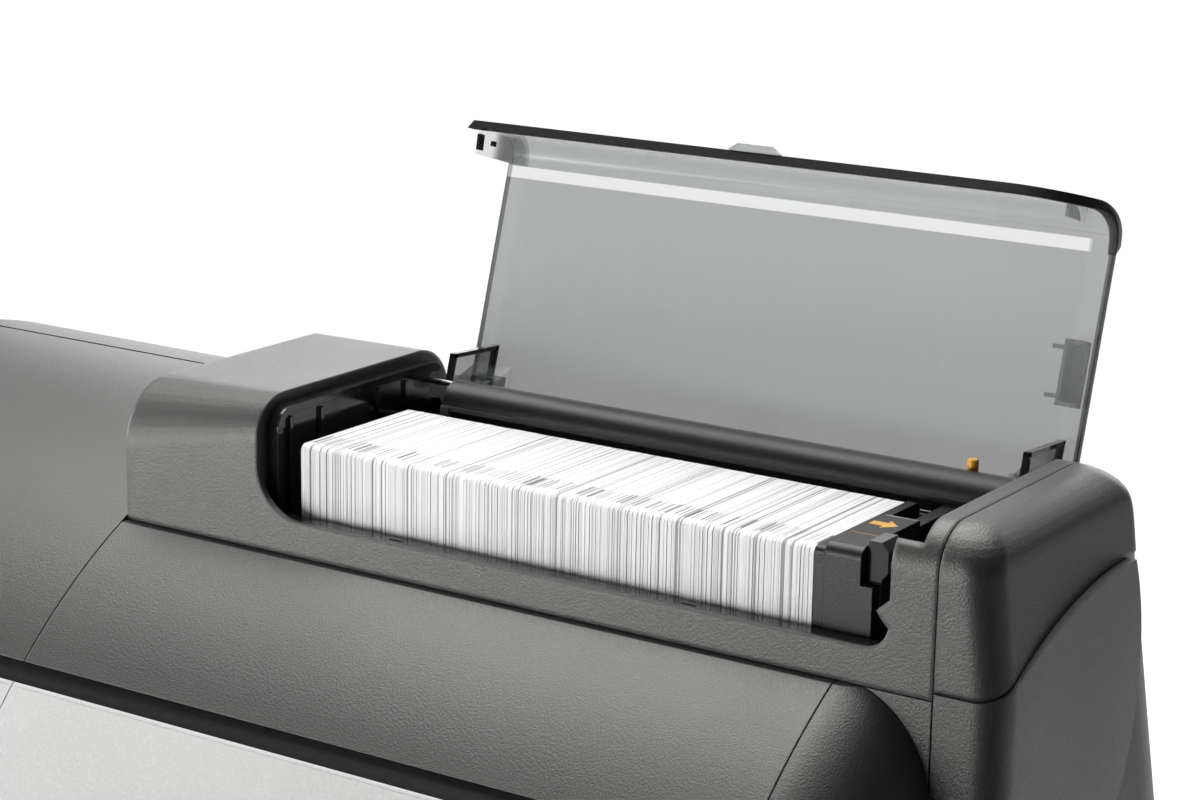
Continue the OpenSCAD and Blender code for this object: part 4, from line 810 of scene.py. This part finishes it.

# %% [markdown]
# A card is a sandwich of a white core between two clear overlays, and its cut edge shows faint streaks
# along its length. The stripe is a short dark dash on the top edge, at nearly the same place on every card.
# Tone, stripe and shift come from the numbers that each card carries, and the darkest tones are painted
# shade.

# %% Finish of the cards
card_finish = Finish("cards", Roughness=0.5, IOR=1.36)
tone, stripe, shift = (card_finish.add("ShaderNodeAttribute", {"attribute_name": number}, {}, "Fac")
                       for number in ("tone", "stripe", "shift"))
behind = card_finish.axis((0, 1, 0)) + shift - stack_low.y
on_top = card_finish.axis((0, 0, 1)).step(stack_high.z - 0.6 * MM, stack_high.z - 0.4 * MM)
dash = behind.step(5.0 * MM, 7.5 * MM) * (1 - behind.step(19.0 * MM, 22.0 * MM)) * on_top * stripe
streak = card_finish.noise(700.0, 3.0, (1.0, 0.05, 0.05))
# white holds each card's own tone and, on the darkest cards, painted shade.
white = card_finish.mix(tone, grey(0.2), (0.95, 0.95, 0.945, 1))
white = card_finish.mix(streak.step(0.5, 0.8) * 0.08, white, grey(0.5))
card_finish.feed({"Base Color": card_finish.mix(dash, white, (0.03, 0.03, 0.032, 1)),
                  "Normal": card_finish.bump(streak, 0.00004, card_finish.rounded(0.12 * MM))})
cards = make_piece("cards", cards_mesh, card_finish, "machine")
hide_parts("card_stack")
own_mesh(cards)

# %% [markdown]
# ## The release pin
# The pin in the rail is a turned button: a straight stem, a broad chamfer and a flat top. It is turned here
# as rings of points, from the solid's own axis and foot, and stands a little prouder than the solid does.

# %% Turn the pin
pin_low, pin_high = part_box("release_pin")
pin_axis = (pin_low + pin_high) / 2
PIN_RADIUS, PIN_PROUD, CHAMFER, PIN_SIDES = 2.58 * MM, 3.2 * MM, 0.7 * MM, 32
pin_top = pin_high.z + PIN_PROUD
profile = [(PIN_RADIUS, pin_low.z), (PIN_RADIUS, pin_top - CHAMFER),
           (PIN_RADIUS - 0.2 * MM, pin_top - 0.3 * CHAMFER), (PIN_RADIUS - CHAMFER, pin_top)]
pin_mesh = bmesh.new()
rings = []
for radius, height in profile:
    angles = [math.tau * side / PIN_SIDES for side in range(PIN_SIDES)]
    rings.append([pin_mesh.verts.new((pin_axis.x + radius * math.cos(angle),
                                      pin_axis.y + radius * math.sin(angle), height)) for angle in angles])
for lower_ring, upper_ring in zip(rings, rings[1:]):
    for side in range(PIN_SIDES):
        corners = (lower_ring[side - 1], lower_ring[side], upper_ring[side], upper_ring[side - 1])
        pin_mesh.faces.new(corners).smooth = True
pin_mesh.faces.new(rings[0][::-1])
pin_mesh.faces.new(rings[-1])
pin = make_piece("turned_pin", pin_mesh, yellow, "release_pin")
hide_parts("release_pin")

# %% [markdown]
# ## The marks on the pusher
# A yellow arrow on top of the pusher says which way to pull it, and two thin lines, one yellow and one
# white, frame it. They are pad printed, a layer of ink only some hundredths of a millimetre thick. As a
# picture they would blur; as thin solid plates they stay sharp at any distance, and they catch the light
# like ink does.

# %% Arrow and lines
PUSHER_RISE, INK = 3 * MM, 0.06 * MM
LINE_START, LINE_END, LINE_WIDTH = 6.4, 22, 0.5
pusher_top = stack_high.z + PUSHER_RISE


def ink_mark(name, outline, finish):
    """A flat mark; its outline is in millimetres from the cards' right front corner."""
    builder = bmesh.new()
    prism(builder, [(stack_high.x + u * MM, stack_low.y + v * MM) for u, v in outline],
          lambda u, v: (u, v, pusher_top - INK / 3), lambda u, v: (u, v, pusher_top + INK))
    return make_piece(name, builder, finish, "pusher")


arrow_outline = [(6.8, 35.2), (13.4, 35.2), (13.4, 31.9), (19.4, 37.7),
                 (13.4, 43.5), (13.4, 40.2), (6.8, 40.2)]
ink_mark("pusher_arrow", arrow_outline, ink)
for number, (near, finish, slot) in enumerate(((20.2, ink, "yellow"), (50.6, white_panel, "white_panel"))):
    far = near + LINE_WIDTH
    line_outline = [(LINE_START, near), (LINE_END, near), (LINE_END, far), (LINE_START, far)]
    ink_mark(f"pusher_line_{number}", line_outline, finish)

# %% [markdown]
# ## The lamps
# Four soft lamps light the machine: a broad one overhead, which draws the bright line along every rounded
# top edge, a low one from the front left and one from the left for the upright faces, and one behind that
# lays the long sheen on every top. A soft lamp is a large area light, because only a large lamp gives broad
# highlights.

# %% Lamps
def soft_lamp(name, place, aim, size, watts):
    lamp = bpy.data.lights.new(name, "AREA")
    lamp.shape = "RECTANGLE"
    lamp.size, lamp.size_y = size
    lamp.energy = watts
    holder = bpy.data.objects.new(name, lamp)
    holder.location = place
    holder.rotation_euler = (Vector(aim) - Vector(place)).to_track_quat("-Z", "Y").to_euler()
    holder.visible_camera = False
    scene.collection.objects.link(holder)
    print(name, "lamp,", size, "m,", watts, "W")


soft_lamp("overhead", (-0.45, 0.42, 2.1), (0.0, 0, 0.35), (2.4, 1.3), 66)
soft_lamp("front left", (-1.1, -2.15, 0.12), (0.1, 0, 0.35), (1.9, 0.7), 62)
soft_lamp("left", (-2.2, -0.3, 0.5), (-0.2, 0, 0.35), (1.0, 0.9), 24)
soft_lamp("behind", (-0.6, 2.3, 0.9), (0.0, 0, 0.42), (3.0, 1.0), 25)

# %% [markdown]
# ## The room
# To the eye of the camera, and through the lid, the room is plain white. What it gives to the machine
# itself is lower, and it falls off towards the right and over the camera, where such a room is left unlit,
# so that dark plastic stays dark there and its shape shows in the sheen.

# %% Room
FALL_OFF, ROOM_LIGHT, ROOM_SHEEN = 0.88, 0.45, 0.4
world = bpy.data.worlds.new("white room")
scene.world = world
world.use_nodes = True
room = Tree(world.node_tree, "Generated")
towards_right = room.axis(Vector((1.0, 0.0, -0.1)).normalized()).step(-0.2, 0.5)
towards_camera = room.axis(Vector((0.3, -0.6, 0.7)).normalized()).step(-0.25, 0.5)
lit = 1 - FALL_OFF * towards_right.or_more(towards_camera)
open_view = room.ray("Camera").or_more(room.ray("Transmission"))
strength = open_view + (1 - open_view) * lit * (room.ray("Glossy") * ROOM_SHEEN + ROOM_LIGHT)
room.fill(world.node_tree.nodes["Background"], {"Color": (1, 1, 1, 1), "Strength": strength})
scene.view_settings.view_transform = "Standard"
print("room:", len(world.node_tree.nodes), "nodes")

# %% [markdown]
# ## The floor
# The floor is a wide pale disc. Far from the machine it turns into plain white for the camera, so that no
# horizon shows. Beside the machine's right front a patch of it is unlit in reflections alone, as the floor
# beyond the lamps' reach would be, so that the dark covers don't mirror a white floor.

# %% Floor
FLOOR_RADIUS, FLOOR_SEGMENTS = 9.0, 96
UNLIT_PLACE = (0.9, -0.6, 0)
floor_mesh = bmesh.new()
bmesh.ops.create_circle(floor_mesh, cap_ends=True, segments=FLOOR_SEGMENTS, radius=FLOOR_RADIUS)
floor_data = bpy.data.meshes.new("floor")
floor_mesh.to_mesh(floor_data)
floor_mesh.free()
floor = bpy.data.objects.new("floor", floor_data)
scene.collection.objects.link(floor)
floor_finish = Finish("pale floor", Roughness=0.8)
unlit = (1 - floor_finish.distance(UNLIT_PLACE).step(0.45, 0.9)) * floor_finish.ray("Glossy")
cloudy = floor_finish.mix(floor_finish.noise(3.0), grey(0.8), grey(0.84))
floor_finish.feed({"Base Color": floor_finish.mix(unlit * 0.95, cloudy, grey(0.02))})
far_off = floor_finish.distance((0, 0, 0)).step(0.7, 2.2) * floor_finish.ray("Camera")
glow = floor_finish.add("ShaderNodeEmission", {}, {"Color": (1, 1, 1, 1), "Strength": 1.0})
plain = Value(floor_finish, floor_finish.shader.outputs[0])
surface = floor_finish.add("ShaderNodeMixShader", {}, {0: far_off, 1: plain, 2: glow})
floor_finish.fill(floor_finish.node_tree.nodes["Material Output"], {"Surface": surface})
floor_data.materials.append(floor_finish.material)
print("floor", len(floor_data.polygons), "face, radius", FLOOR_RADIUS)

# %% [markdown]
